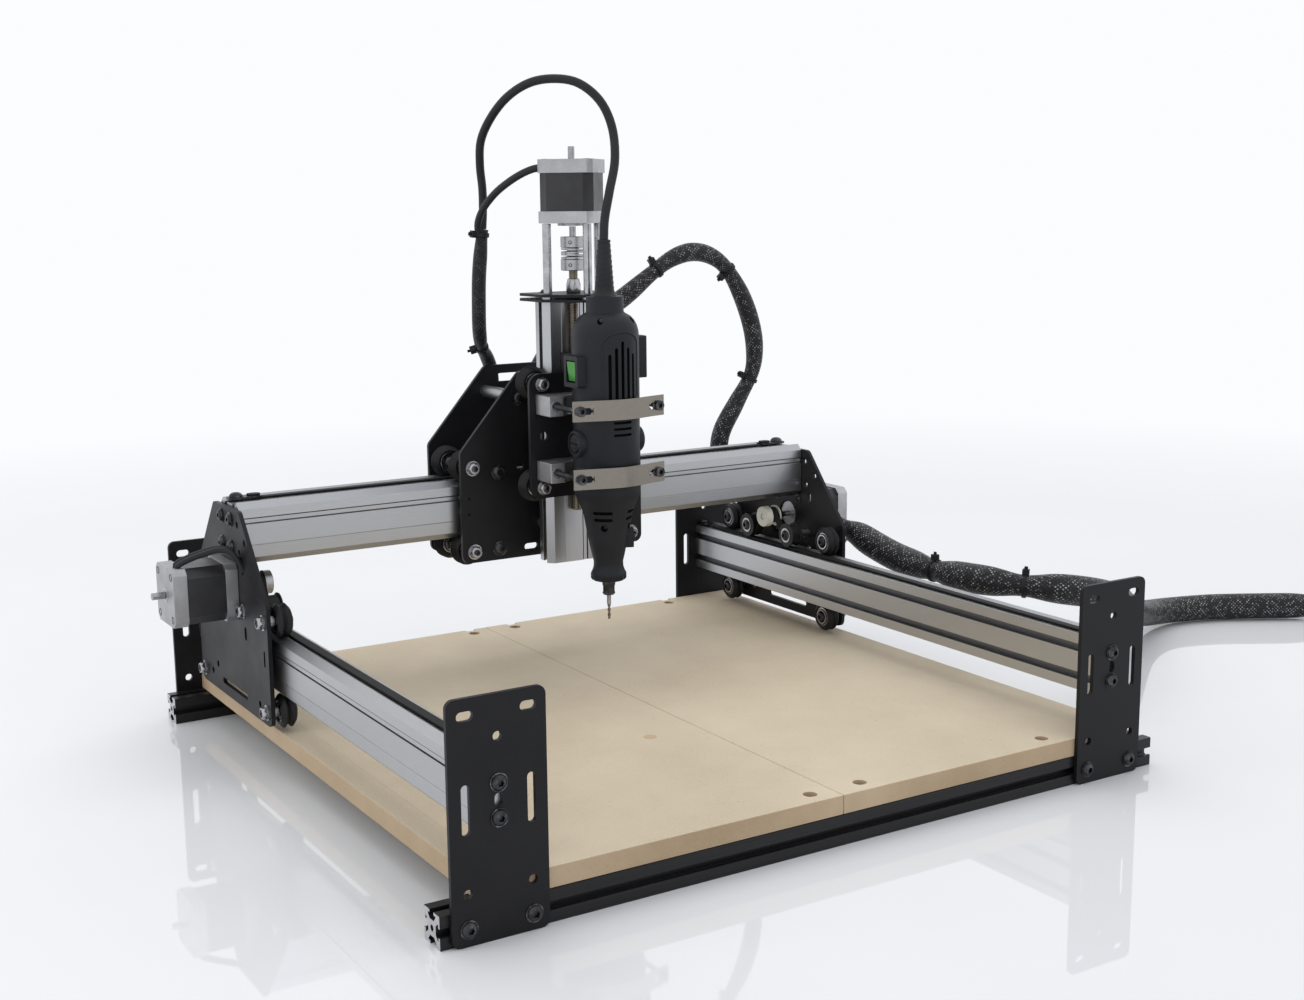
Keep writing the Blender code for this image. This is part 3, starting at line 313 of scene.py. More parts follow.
def floor_finish(near, far):
    """A glossy pale table top that fades out well beyond the machine."""
    finish = Finish("pale_table")
    vector = finish.place()
    cloud = finish.noise(vector, 3.0)
    length = finish.add("ShaderNodeVectorMath", operation="LENGTH")
    finish.link(vector, length.inputs[0])
    return finish.done(
        Base_Color=finish.mix(cloud, (0.6, 0.61, 0.63), (0.65, 0.66, 0.675)),
        Roughness=finish.span(cloud, 0.3, 0.7, 0.02, 0.04),
        Alpha=finish.span(length.outputs["Value"], near, far, 1.0, 0.0),
    )


POWDER_BLACK = coating(
    "powder_coat_black", (0.006, 0.006, 0.007), (0.011, 0.011, 0.013), (0.36, 0.5), 0.1, 900.0
)
SILVER_X = metal(
    "anodised_along_x", (0.42, 0.43, 0.45), (0.5, 0.51, 0.53), (0.3, 0.4), (2, 220, 220)
)
SILVER_Y = metal(
    "anodised_along_y", (0.44, 0.45, 0.46), (0.52, 0.52, 0.53), (0.3, 0.4), (220, 2, 220)
)
SILVER_Z = metal(
    "anodised_along_z", (0.44, 0.45, 0.47), (0.53, 0.54, 0.56), (0.28, 0.38), (220, 220, 2)
)
EXTRUSION = cut_extrusion()
# Darker metal painted onto the V-rails' slot, groove and bore faces as painted shade.
SLOT_SHADE = metal(
    "shaded_slot", (0.17, 0.17, 0.18), (0.26, 0.26, 0.27), (0.4, 0.55), (2, 120, 120)
)
CAST_ALUMINIUM = metal(
    "cast_aluminium", (0.36, 0.36, 0.37), (0.52, 0.52, 0.53), (0.38, 0.55), bump=0.12
)
MILLED_ALUMINIUM = metal(
    "milled_aluminium", (0.36, 0.37, 0.38), (0.5, 0.51, 0.52), (0.32, 0.44), (3, 90, 90)
)
SPRING_STEEL = metal(
    "spring_steel", (0.2, 0.18, 0.155), (0.3, 0.27, 0.24), (0.24, 0.36), (2, 60, 240), 30.0
)
ZINC = metal("zinc_plate", (0.34, 0.34, 0.35), (0.52, 0.52, 0.54), (0.18, 0.32), scale=120.0)
STEEL = metal("ground_steel", (0.28, 0.28, 0.29), (0.44, 0.44, 0.45), (0.16, 0.28), scale=200.0)
BLACK_OXIDE = metal(
    "black_oxide", (0.03, 0.03, 0.033), (0.07, 0.07, 0.075), (0.3, 0.42), scale=160.0, wear=0.3
)
BRASS = metal("aged_bronze", (0.13, 0.11, 0.085), (0.24, 0.2, 0.16), (0.28, 0.42), scale=150.0)
LAMINATIONS = laminated_black()
BOARD_FACE = fibreboard("fibreboard_face", (0.4, 0.335, 0.245), (0.5, 0.43, 0.325), 1.0)
BOARD_EDGE = fibreboard("fibreboard_edge", (0.32, 0.23, 0.14), (0.46, 0.355, 0.24), 5.0)
RUBBER = coating(
    "belt_rubber", (0.008, 0.008, 0.008), (0.018, 0.018, 0.018), (0.55, 0.72), 0.14, 1200.0
)
NYLON = coating(
    "wheel_nylon", (0.007, 0.007, 0.008), (0.014, 0.014, 0.015), (0.34, 0.46), 0.06, 500.0
)
PALE_NYLON = coating(
    "pale_nylon", (0.6, 0.6, 0.52), (0.72, 0.72, 0.64), (0.36, 0.5), 0.05, dust_colour=(0.5, 0.5, 0.42)
)
TOOL_PLASTIC = coating(
    "tool_plastic", (0.01, 0.011, 0.014), (0.016, 0.017, 0.021), (0.4, 0.54), 0.16, 1500.0
)
# Near-black painted shade, put into holes, wells, vents and recesses.
PAINTED_HOLLOW_SHADE = coating("painted_hollow_shade", (0.002, 0.002, 0.002), (0.005, 0.005, 0.005), (0.7, 0.9), 0.05)
GREEN = coating(
    "switch_green",
    (0.035, 0.2, 0.03),
    (0.06, 0.28, 0.05),
    (0.18, 0.28),
    0.03,
    dust_colour=(0.2, 0.5, 0.2),
)
CORD_RUBBER = coating(
    "cord_rubber", (0.011, 0.011, 0.012), (0.022, 0.022, 0.024), (0.34, 0.46), 0.08, 900.0
)
# The last colour of each sleeve is the painted highlight in the gaps of its braid.
SLEEVE_SMALL = braid("sleeve_small", 12, 0.0028, (0.008, 0.008, 0.009), (0.1, 0.1, 0.11))
SLEEVE_LOOP = braid("sleeve_loop", 16, 0.0032, (0.008, 0.008, 0.009), (0.34, 0.34, 0.35))
SLEEVE_MAIN = braid("sleeve_main", 22, 0.0034, (0.007, 0.007, 0.008), (0.4, 0.4, 0.41))

# ---------------------------------------------------------------- outlines


def circle(centre, radius, sides=24):
    angles = [2 * math.pi * i / sides for i in range(sides)]
    return [(centre[0] + radius * math.cos(a), centre[1] + radius * math.sin(a)) for a in angles]


def slot(centre, length, width, upright=False, steps=8):
    """A slot with round ends, `length` long over all."""
    radius = width / 2
    reach = length / 2 - radius
    outline = []
    for end, side in enumerate((1, -1)):
        for i in range(steps + 1):
            angle = math.pi * (end + i / steps) - math.pi / 2
            outline.append((side * reach + radius * math.cos(angle), radius * math.sin(angle)))
    if upright:
        outline = [(-v, u) for u, v in outline]
    return [(centre[0] + u, centre[1] + v) for u, v in outline]


def rounded(corners, radius, steps=6):
    """The polygon with each corner replaced by an arc that its two sides touch."""
    outline = []
    for i, corner in enumerate(corners):
        point = Vector(corner)
        back = (Vector(corners[i - 1]) - point).normalized()
        ahead = (Vector(corners[(i + 1) % len(corners)]) - point).normalized()
        half_angle = back.angle(ahead) / 2
        centre = point + (back + ahead).normalized() * radius / math.sin(half_angle)
        reach = radius / math.tan(half_angle)
        start = point + back * reach - centre
        end = point + ahead * reach - centre
        first = math.atan2(start.y, start.x)
        turn = math.remainder(math.atan2(end.y, end.x) - first, 2 * math.pi)
        for step in range(steps + 1):
            angle = first + turn * step / steps
            outline.append((centre.x + radius * math.cos(angle), centre.y + radius * math.sin(angle)))
    return outline


def box_outline(low, high):
    return [(low[0], low[1]), (high[0], low[1]), (high[0], high[1]), (low[0], high[1])]


def centred(half_u, half_v):
    return box_outline((-half_u, -half_v), (half_u, half_v))


def four(u, v):
    """The four points at plus and minus u and v."""
    return [(a * u, b * v) for a in (-1, 1) for b in (-1, 1)]


def placed(origin, u_axis, v_axis, w_axis):
    matrix = Matrix((u_axis, v_axis, w_axis)).transposed().to_4x4()
    matrix.translation = origin
    return matrix


def in_x(side=1, x=0.0, y=0.0, z=0.0):
    return placed((x, y, z), Y_AXIS, Z_AXIS, side * X_AXIS)


def in_y(side=1, x=0.0, y=0.0, z=0.0):
    return placed((x, y, z), X_AXIS, Z_AXIS, side * Y_AXIS)


def in_z(x=0.0, y=0.0, z=0.0):
    return placed((x, y, z), X_AXIS, Y_AXIS, Z_AXIS)


def moved(place, u, v, w=0.0):
    """The same frame, moved along its own axes."""
    return place @ Matrix.Translation((u, v, w))


def polygon_reach(angle, corners):
    """A regular polygon's radius at an angle, for a corner radius of 1."""
    half = math.pi / corners
    return math.cos(half) / math.cos(angle % (2 * half) - half)


# ---------------------------------------------------------------- one piece's mesh


def new_object(name, data):
    """An object in the scene."""
    obj = bpy.data.objects.new(name, data)
    bpy.context.scene.collection.objects.link(obj)
    return obj


class Piece:
    """A mesh put together from turned, extruded and swept shapes, each with its material."""

    def __init__(self):
        self.bm = bmesh.new()
        self.materials = []

    def index(self, material):
        if material not in self.materials:
            self.materials.append(material)
        return self.materials.index(material)

    def paint(self, faces, material):
        index = self.index(material)
        for face in faces:
            face.material_index = index

    def ring(self, place, points):
        return [self.bm.verts.new(place @ Vector(point)) for point in points]

    def band(self, low, high):
        count = len(low)
        return [
            self.bm.faces.new((low[i], low[(i + 1) % count], high[(i + 1) % count], high[i]))
            for i in range(count)
        ]

    def turned(self, place, profile, material, sides=32, bored=False):
        """Rings at (radius, depth) or (corner radius, depth, number of corners)."""
        rings = []
        for radius, depth, *corners in profile:
            points = []
            for i in range(sides):
                angle = 2 * math.pi * i / sides
                reach = radius * polygon_reach(angle, corners[0]) if corners else radius
                points.append((reach * math.cos(angle), reach * math.sin(angle), depth))
            rings.append(self.ring(place, points))
        self.skin(rings, material, bored)

    def skin(self, rings, material, looped=False):
        """Joins rings into a closed shape: capped, or looped from the last ring to the first."""
        if looped:
            faces = self.band(rings[-1], rings[0])
        else:
            faces = [self.bm.faces.new(rings[0]), self.bm.faces.new(rings[-1])]
        for low, high in zip(rings, rings[1:]):
            faces += self.band(low, high)
        self.paint(faces, material)

    def rod(self, place, radius, low, high, material, sides):
        self.turned(place, [(radius, low), (radius, high)], material, sides)

    def tube(self, place, bore, radius, low, high, material, sides):
        profile = [(bore, low), (radius, low), (radius, high), (bore, high)]
        self.turned(place, profile, material, sides, bored=True)

    def slab(self, place, outline, low, high, material, holes=(), side_material=None):
        """An outline with holes, from depth `low` to depth `high`."""
        ends = [
            [self.ring(place, [(u, v, depth) for u, v in loop]) for loop in (outline, *holes)]
            for depth in (low, high)
        ]
        walls = []
        for low_loop, high_loop in zip(*ends):
            walls += self.band(low_loop, high_loop)
        caps = []
        for loops in ends:
            if holes:
                edges = []
                for loop in loops:
                    edges += [self.bm.edges.get(pair) for pair in zip(loop, loop[1:] + loop[:1])]
                filled = bmesh.ops.triangle_fill(self.bm, use_beauty=True, edges=edges)
                caps += [f for f in filled["geom"] if isinstance(f, bmesh.types.BMFace)]
            else:
                caps.append(self.bm.faces.new(loops[0]))
        self.paint(caps, material)
        self.paint(walls, side_material or material)

    def button(self, place, radius=0.0045, height=0.0026):
        """A button-head screw with its hexagon socket, on a thin washer."""
        base = 0.0006
        self.rod(place, radius + 0.0008, 0.0, base, BLACK_OXIDE, 28)
        dome = ((1, 0), (1, 0.18), (0.94, 0.45), (0.8, 0.75), (0.58, 1))
        socket = ((0.42, 1, 6), (0.399, 0.35, 6))
        profile = [(radius * r, base + height * up, *sides) for r, up, *sides in dome + socket]
        self.turned(place, profile, BLACK_OXIDE, 24)

    def cap_screw(self, place, radius, height):
        """A cylinder-head screw with a hexagon socket."""
        shape = ((1, 0), (1, 0.9), (0.9, 1), (0.5, 1, 6), (0.48, 0.45, 6))
        profile = [(radius * r, height * up, *sides) for r, up, *sides in shape]
        self.turned(place, profile, BLACK_OXIDE, 24)

    def lock_nut(self, place, scale=1.0):
        """A zinc-plated lock nut on a washer, with the dark screw end inside its collar."""
        self.rod(place, 0.0053 * scale, 0.0, 0.0007, ZINC, 28)
        hexagon = ((0.0043, 0.0007), (0.0046, 0.0011), (0.0046, 0.0034))
        nut = [(radius * scale, depth, 6) for radius, depth in hexagon]
        collar = [(0.0041, 0.0038), (0.0038, 0.0046), (0.0034, 0.0049)]
        collar += [(0.003, 0.0049), (0.003, 0.0042)]
        nut += [(radius * scale, depth) for radius, depth in collar]
        self.turned(place, nut, ZINC, 24)
        end = [(0.0024, 0.004), (0.0024, 0.005), (0.002, 0.0053)]
        end += [(0.0012, 0.0053, 6), (0.0011, 0.0043, 6)]
        self.turned(place, end, BLACK_OXIDE, 24)

    def mesh(self, name, sharp_degrees=38):
        """The finished mesh, smooth but for its sharp edges."""
        bmesh.ops.recalc_face_normals(self.bm, faces=self.bm.faces)
        mesh = bpy.data.meshes.new(name)
        self.bm.to_mesh(mesh)
        self.bm.free()
        for material in self.materials:
            mesh.materials.append(material)
        mesh.shade_smooth()
        mesh.set_sharp_from_angle(angle=math.radians(sharp_degrees))
        return mesh

    def closed(self, name, bevel=0.0, sharp_degrees=38):
        """The finished mesh as an object, not yet on a body."""
        obj = new_object(name, self.mesh(name, sharp_degrees))
        if bevel:
            soften(obj, bevel)
        return obj

    def made(self, name, body, slot_name, replaces=(), bevel=0.0, sharp_degrees=38):
        """The finished mesh on its body, with the CAD nodes that it stands for."""
        obj = self.closed(name, bevel, sharp_degrees)
        settle(obj, body, replaces)
        return obj


def soften(obj, width):
    """Rounds an object's sharp edges."""
    modifier = obj.modifiers.new("edges", "BEVEL")
    modifier.width = width
    modifier.segments = 2
    modifier.limit_method = "ANGLE"
    modifier.angle_limit = math.radians(38)
    modifier.harden_normals = True


def settle(obj, body, replaces=()):
    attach(obj, body)
    if replaces:
        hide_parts(*replaces)


# ---------------------------------------------------------------- camera, light and floor


def build_camera():
    ahead = Vector(
        (
            math.sin(CAMERA_AZIMUTH) * math.cos(CAMERA_DIP),
            math.cos(CAMERA_AZIMUTH) * math.cos(CAMERA_DIP),
            -math.sin(CAMERA_DIP),
        )
    )
    level = Vector((math.cos(CAMERA_AZIMUTH), -math.sin(CAMERA_AZIMUTH), 0))
    upright = level.cross(ahead)
    right = math.cos(CAMERA_ROLL) * level + math.sin(CAMERA_ROLL) * upright
    up = math.cos(CAMERA_ROLL) * upright - math.sin(CAMERA_ROLL) * level
    camera = new_object("camera", bpy.data.cameras.new("camera"))
    camera.data.lens = CAMERA_FOCAL_MM
    camera.data.sensor_width = 36.0
    camera.data.clip_start = 0.01
    camera.matrix_world = placed(CAMERA_PLACE, right, up, -ahead)
    bpy.context.scene.camera = camera


def add_light(name, place, target, size, watts):
    light = bpy.data.lights.new(name, "AREA")
    light.shape = "RECTANGLE"
    light.size, light.size_y = size
    light.energy = watts
    obj = new_object(name, light)
    obj.visible_glossy = False
    obj.location = place
    obj.rotation_euler = (Vector(target) - Vector(place)).to_track_quat("-Z", "Y").to_euler()


def build_studio():
    world = bpy.data.worlds.new("studio")
    world.use_nodes = True
    background = world.node_tree.nodes["Background"]
    background.inputs["Color"].default_value = (0.97, 0.98, 1.0, 1.0)
    background.inputs["Strength"].default_value = 1.0
    bpy.context.scene.world = world
    bpy.context.scene.view_settings.view_transform = "Standard"
    add_light("overhead", (0.1, 0.2, 1.9), (0.0, 0.0, 0.1), (2.2, 1.6), 16)
    add_light("left_bank", (-1.7, 0.3, 0.9), (0.0, 0.0, 0.15), (0.9, 1.5), 9)
    add_light("front_fill", (0.5, -1.9, 1.1), (0.0, 0.0, 0.15), (1.2, 0.8), 4)
    bm = bmesh.new()
    bmesh.ops.create_circle(bm, cap_ends=True, segments=96, radius=TABLE_RADIUS)
    mesh = bpy.data.meshes.new("table_top")
    bm.to_mesh(mesh)
    bm.free()
    mesh.materials.append(floor_finish(TABLE_RADIUS / 2, TABLE_RADIUS))
    table = new_object("table_top", mesh)
    table.location = (0.1, 0.0, 0.0)


# ---------------------------------------------------------------- cords

SPINDLE_CORD_RADIUS = 0.00325
CARRIAGE_HARNESS_RADIUS = 0.0055
LOOP_HARNESS_RADIUS = 0.008
MAIN_HARNESS_RADIUS = 0.012

SPINDLE_CORD_ROUTE = [
    (0.0, 0.027, 0.3703), (0.001, 0.027, 0.385), (0.006, 0.028, 0.405), (0.012, 0.03, 0.427),
    (0.013, 0.035, 0.45), (0.008, 0.043, 0.469), (-0.002, 0.056, 0.482), (-0.013, 0.072, 0.486),
    (-0.024, 0.09, 0.484), (-0.033, 0.108, 0.475), (-0.039, 0.124, 0.461), (-0.042, 0.137, 0.444),
    (-0.0405, 0.143, 0.426), (-0.0375, 0.146, 0.408), (-0.0365, 0.148, 0.392), (-0.037, 0.149, 0.3773),
]
Y_MOTOR_LEAD_ROUTE = [
    (-0.2935, 0.1285, 0.144), (-0.293, 0.1275, 0.1475), (-0.286, 0.126, 0.151), (-0.276, 0.123, 0.1545),
    (-0.267, 0.119, 0.157), (-0.26, 0.114, 0.156), (-0.2555, 0.11, 0.15),
]
Z_MOTOR_LEAD_ROUTE = [
    (-0.0215, 0.08, 0.4225), (-0.026, 0.085, 0.4215), (-0.031, 0.094, 0.418), (-0.036, 0.106, 0.412),
    (-0.04, 0.12, 0.404), (-0.043, 0.134, 0.393), (-0.043, 0.144, 0.382), (-0.04, 0.149, 0.372),
]
CARRIAGE_HARNESS_ROUTE = [
    (-0.037, 0.149, 0.377), (-0.0385, 0.15, 0.36), (-0.0405, 0.15, 0.34), (-0.041, 0.1505, 0.32),
    (-0.04, 0.153, 0.303), (-0.036, 0.16, 0.292), (-0.03, 0.17, 0.284), (-0.022, 0.179, 0.277),
    (-0.015, 0.186, 0.267), (-0.012, 0.189, 0.255), (-0.012, 0.189, 0.2324),
]
LOOP_HARNESS_ROUTE = [
    (0.0305, 0.2, 0.21), (0.0305, 0.2, 0.225), (0.031, 0.2, 0.24), (0.0342, 0.199, 0.256),
    (0.0415, 0.1967, 0.2705), (0.0525, 0.1933, 0.283), (0.067, 0.1893, 0.2935), (0.085, 0.185, 0.304),
    (0.108, 0.18, 0.318), (0.134, 0.175, 0.338), (0.153, 0.175, 0.349), (0.172, 0.175, 0.354),
    (0.191, 0.175, 0.351), (0.208, 0.175, 0.34), (0.223, 0.175, 0.319), (0.234, 0.175, 0.294),
    (0.2395, 0.176, 0.27), (0.238, 0.178, 0.247), (0.2238, 0.181, 0.2212), (0.2096, 0.183, 0.1967),
    (0.2071, 0.184, 0.1773), (0.2123, 0.184, 0.1604), (0.2228, 0.184, 0.1479), (0.2336, 0.184, 0.1415),
    (0.2425, 0.184, 0.1384),
]
MAIN_HARNESS_ROUTE = [
    (0.28, 0.118, 0.114), (0.28, 0.098, 0.114), (0.28, 0.08, 0.113), (0.28, 0.056, 0.107),
    (0.28, 0.023, 0.101), (0.28, -0.015, 0.099), (0.2805, -0.048, 0.0995), (0.284, -0.076, 0.1005),
    (0.297, -0.104, 0.1), (0.318, -0.121, 0.098), (0.344, -0.126, 0.093), (0.373, -0.118, 0.085),
    (0.402, -0.101, 0.075), (0.432, -0.081, 0.064), (0.465, -0.058, 0.051), (0.51, -0.027, 0.034),
    (0.555, 0.001, 0.02), (0.6, 0.014, 0.0135), (0.645, 0.004, 0.0125), (0.687, -0.019, 0.0125),
    (0.724, -0.042, 0.0125), (0.75, -0.058, 0.0125),
]


def smooth_route(points, spacing):
    """Evenly spaced points on the Catmull-Rom curve through a route's points."""
    knots = [Vector(p) for p in points]
    knots = [2 * knots[0] - knots[1], *knots, 2 * knots[-1] - knots[-2]]
    dense = []
    steps = 24
    for a, b, c, d in zip(knots, knots[1:], knots[2:], knots[3:]):
        for i in range(steps):
            t = i / steps
            square = (2 * a - 5 * b + 4 * c - d) * t**2
            cube = (3 * b - a - 3 * c + d) * t**3
            dense.append(0.5 * (2 * b + (c - a) * t + square + cube))
    dense.append(knots[-2])
    count = max(2, round(route_length(dense) / spacing))
    step = route_length(dense) / count
    stations = [dense[0]]
    travelled = 0.0
    for p, q in zip(dense, dense[1:]):
        length = (q - p).length
        while len(stations) < count and step * len(stations) <= travelled + length:
            stations.append(p.lerp(q, (step * len(stations) - travelled) / length))
        travelled += length
    return [*stations, dense[-1]]


def route_length(points):
    return sum((q - p).length for p, q in zip(points, points[1:]))


def along_at(points, i):
    """The direction of a route at one of its points."""
    return (points[min(i + 1, len(points) - 1)] - points[max(i - 1, 0)]).normalized()


def sweep(piece, points, radius_at, material, sides=20, flatness=1.0):
    """A tube along points; `radius_at` gives its radius for a distance along it."""
    layer = piece.bm.loops.layers.uv.get("sleeve") or piece.bm.loops.layers.uv.new("sleeve")
    total = route_length(points)
    across = (points[1] - points[0]).orthogonal().normalized()
    rings = []
    along = [0.0]
    for i, point in enumerate(points):
        ahead = along_at(points, i)
        across = (across - across.dot(ahead) * ahead).normalized()
        other = ahead.cross(across)
        radius = radius_at(along[-1], total)
        ring = []
        for k in range(sides):
            angle = 2 * math.pi * k / sides
            offset = radius * (math.cos(angle) * across + flatness * math.sin(angle) * other)
            ring.append(piece.bm.verts.new(point + offset))
        rings.append(ring)
        if i + 1 < len(points):
            along.append(along[-1] + (points[i + 1] - point).length)
    index = piece.index(material)
    for i, (low, high) in enumerate(zip(rings, rings[1:])):
        for k, face in enumerate(piece.band(low, high)):
            face.material_index = index
            corners = ((k, i), (k + 1, i), (k + 1, i + 1), (k, i + 1))
            for loop, (turn, station) in zip(face.loops, corners):
                loop[layer].uv = (turn / sides, along[station])
    for end in (rings[0], rings[-1]):
        piece.bm.faces.new(end).material_index = index


def add_tie(name, centre, along, radius, up):
    """A cable tie: a thin band, its lock and the cut-off tail."""
    up = (up - up.dot(along) * along).normalized()
    place = placed(centre, up, along.cross(up), along)
    piece = Piece()
    edge = radius + 0.0011
    band = [(radius, -0.0018), (edge, -0.0015), (edge, 0.0015), (radius, 0.0018)]
    piece.turned(place, band, NYLON, 32, bored=True)
    lock = placed(place @ Vector((radius, 0, 0)), along.cross(up), along, up)
    piece.slab(lock, rounded(centred(0.0026, 0.0027), 0.0007), 0.0, 0.0048, NYLON)
    piece.slab(lock, centred(0.0006, 0.0014), 0.0045, 0.007, NYLON)
    return piece.closed(name, bevel=0.0003)


def pinched(radius, ties, width, depth):
    """A sleeve's radius: full between its ties and drawn in at each of them."""

    def radius_at(distance, total):
        squeeze = max(math.exp(-(((distance - tie * total) / width) ** 2)) for tie in ties)
        return radius * (1 - depth * squeeze)

    return radius_at


def steady(radius):
    return lambda distance, total: radius


def make_cord(name, route, radius_at, material, sides, move):
    """Sweeps a cord along its route; `move` fixes it to its body or bakes it in place."""
    points = smooth_route(route, 0.004)
    piece = Piece()
    sweep(piece, points, radius_at, material, sides)
    obj = piece.closed(name + "_tube", sharp_degrees=60)
    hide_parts(name)
    move(obj)
    return obj, points


def state_cord(cord, points, exit, radius, **facts):
    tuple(exit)
    round(route_length(points), 3)
    [tuple(p) for p in points]


def build_cords():
    route = SPINDLE_CORD_ROUTE
    radius_at = steady(SPINDLE_CORD_RADIUS)
    hang = between()
    cord = make_cord("spindle_cord", route, radius_at, CORD_RUBBER, 16, hang)
    state_cord(*cord, route[0], SPINDLE_CORD_RADIUS, far_end="object", lay="hanging")
    build_sleeve(
        "carriage",
        CARRIAGE_HARNESS_ROUTE,
        CARRIAGE_HARNESS_RADIUS,
        on("x_carriage"),
        (SLEEVE_SMALL, 20),
        ((0.03, 0.62), 0.01, 0.18),
        (0.84, -X_AXIS),
    )
    build_sleeve(
        "loop",
        LOOP_HARNESS_ROUTE,
        LOOP_HARNESS_RADIUS,
        between(),
        (SLEEVE_LOOP, 24),
        ((0.37, 0.53, 0.745), 0.022, 0.22),
        (0.8, Z_AXIS - X_AXIS),
    )
    build_main_harness()


def build_sleeve(name, route, radius, move, look, pinches, tie):
    """A limp sleeve; `pinches` are its ties' shares of its length, and their width and depth."""
    material, sides = look
    share_of_radius, up = tie
    radius_at = pinched(radius, *pinches)
    cord = make_cord(name + "_harness", route, radius_at, material, sides, move)
    state_cord(*cord, route[-1], radius, far_end="object", stiffness="limp", lay="hanging")
    tie_cord(name + "_tie", move, cord[1], pinches[0], radius * share_of_radius, up)


def tie_cord(name, move, points, shares, radius, up):
    """Puts a tie at each share of a cord's length; `move` fixes it to its body or bakes it in place."""
    for number, share in enumerate(shares):
        at = round(share * (len(points) - 1))
        tie = add_tie(f"{name}_{number}", points[at], along_at(points, at), radius, up)
        move(tie)


def on(body):
    return lambda obj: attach(obj, body)


def between():
    return lambda obj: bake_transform(obj)


def build_main_harness():
    radius = MAIN_HARNESS_RADIUS
    route = MAIN_HARNESS_ROUTE
    pinches = (0.03, 0.185, 0.3, 0.55, 0.985)
    radius_at = pinched(radius, pinches, 0.018, 0.3)
    ride = on("gantry")
    cord = make_cord("main_harness", route, radius_at, SLEEVE_MAIN, 32, ride)
    connector = build_connector()
    state_cord(*cord, route[0], radius, far_end="connector", lay="loose", with_pieces=[connector])
    tie_cord("main_tie", ride, cord[1], pinches[1:4], radius * 0.71, Z_AXIS)


def build_connector():
    """A round plug: ribbed shell, knurled locking ring and a recessed nose with pins."""
    end = Vector(MAIN_HARNESS_ROUTE[-1])
    along = (end - Vector(MAIN_HARNESS_ROUTE[-2])).normalized()
    place = placed(end, Z_AXIS.cross(along), Z_AXIS, along)
    piece = Piece()
    shell = [(0.01, 0.0003), (0.0105, 0.001)]
    for rib in range(4):
        z = 0.002 + 0.0028 * rib
        shell += [(0.0105, z), (0.0099, z + 0.0006), (0.0099, z + 0.0014), (0.0105, z + 0.002)]
    shell += [(0.0105, 0.015)]
    piece.turned(place, shell, NYLON, 40)
    ring = [(0.0108, 0.015), (0.0122, 0.016), (0.0122, 0.028), (0.0112, 0.029)]
    piece.turned(place, ring, NYLON, 40)
    for u, v in circle((0, 0), 0.0117, 20):
        piece.rod(moved(place, u, v, 0.0165), 0.0009, 0.0, 0.011, NYLON, 8)
    nose = [(0.0095, 0.029), (0.0095, 0.042), (0.0082, 0.042), (0.008, 0.034)]
    piece.turned(place, nose, ZINC, 40)
    for u, v in circle((0, 0), 0.0045, 6):
        pin = [(0.0007, 0.0), (0.0007, 0.0055), (0.0003, 0.0062)]
        piece.turned(moved(place, u, v, 0.034), pin, BRASS, 10)
    return piece.made("connector", "gantry", "connector_nylon", ("harness_connector",))


# ---------------------------------------------------------------- base


def build_base():
    for name in ("front_cross_rail", "rear_cross_rail"):
        dress(name, EXTRUSION, 0.0004)
    for side_name, side in SIDES:
        low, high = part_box(f"y_rail_{side_name}")
        place = placed((side * Y_RAIL_BACK, low[1], Y_RAIL_Z), Z_AXIS, side * X_AXIS, Y_AXIS)
        build_v_rail(f"y_rail_{side_name}", place, high[1] - low[1], "base", SILVER_Y)
        for end_name, toward in (("front", -1), ("rear", 1)):
            build_end_plate(f"end_plate_{end_name}_{side_name}", side * 0.235, toward)
        build_y_belt(side_name, side)
    build_boards()


def dress(name, material, bevel):
    """Gives a CAD node its material and soft edges."""
    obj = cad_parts[name]
    obj.data.materials.clear()
    obj.data.materials.append(material)
    soften(obj, bevel)


def t_slot(mouth=0.0027, widest=0.0048):
    """Half of a T-slot's outline: its distance from the slot's middle and its depth."""
    return [(mouth, 0.0), (mouth, 0.0018), (widest, 0.0018), (widest, 0.0026), (0.0026, 0.0052)]


def v_rail_outline():
    """Across the rail (u) and out from its back face (v), anticlockwise from the middle of the back."""
    half = V_RAIL_HALF
    back = [(0.01 - u, depth) for u, depth in t_slot()]
    back += [(half - u, v) for u, v in reversed(back)]
    side = [(half - depth, 0.008 - u) for u, depth in t_slot(widest=0.0042)]
    side += [(u, 0.016 - v) for u, v in reversed(side)]
    wedge = [(half, 0.0125), (0.0219, 0.0144), (0.0225, 0.015), (0.0219, 0.0156), (0.0178, 0.0197)]
    groove = [(0.0112, half), (0.011, 0.0186), (0.0106, 0.0186), (0.0105, 0.0194)]
    groove += [(0.0076, 0.0194), (0.0075, 0.0184), (0.0069, 0.0184), (0.0068, half)]
    line = [(-0.0086, half), (-0.0088, 0.0195), (-0.009, half)]
    right = back + [(half, 0.0)] + side + wedge
    return right + groove + line + [(-u, v) for u, v in reversed(right)]


def in_groove(u, v):
    """Whether a point of a V-rail's wall lies inside a slot, a groove or a bore."""
    return min(v, V_RAIL_HALF - v, V_RAIL_HALF - abs(u)) > 0.0007


def build_v_rail(name, place, length, body, material, slot_name="silver_anodised"):
    """A V-rail with T-slots at its back and sides, whose recess faces carry painted shade."""
    piece = Piece()
    bores = [circle((u, 0.01), 0.0021) for u in (-0.01, 0.01)]
    piece.slab(place, v_rail_outline(), 0.0, length, material, bores)
    inverse = place.inverted()
    # Painted shade: wall faces inside the slots, grooves and bores take the darker shaded_slot
    # material.
    for face in piece.bm.faces:
        u, v, w = inverse @ face.calc_center_median()
        if 0.001 < w < length - 0.001 and in_groove(u, v):
            face.material_index = piece.index(SLOT_SHADE)
    piece.made(name + "_profile", body, slot_name, (name,), bevel=0.0002)


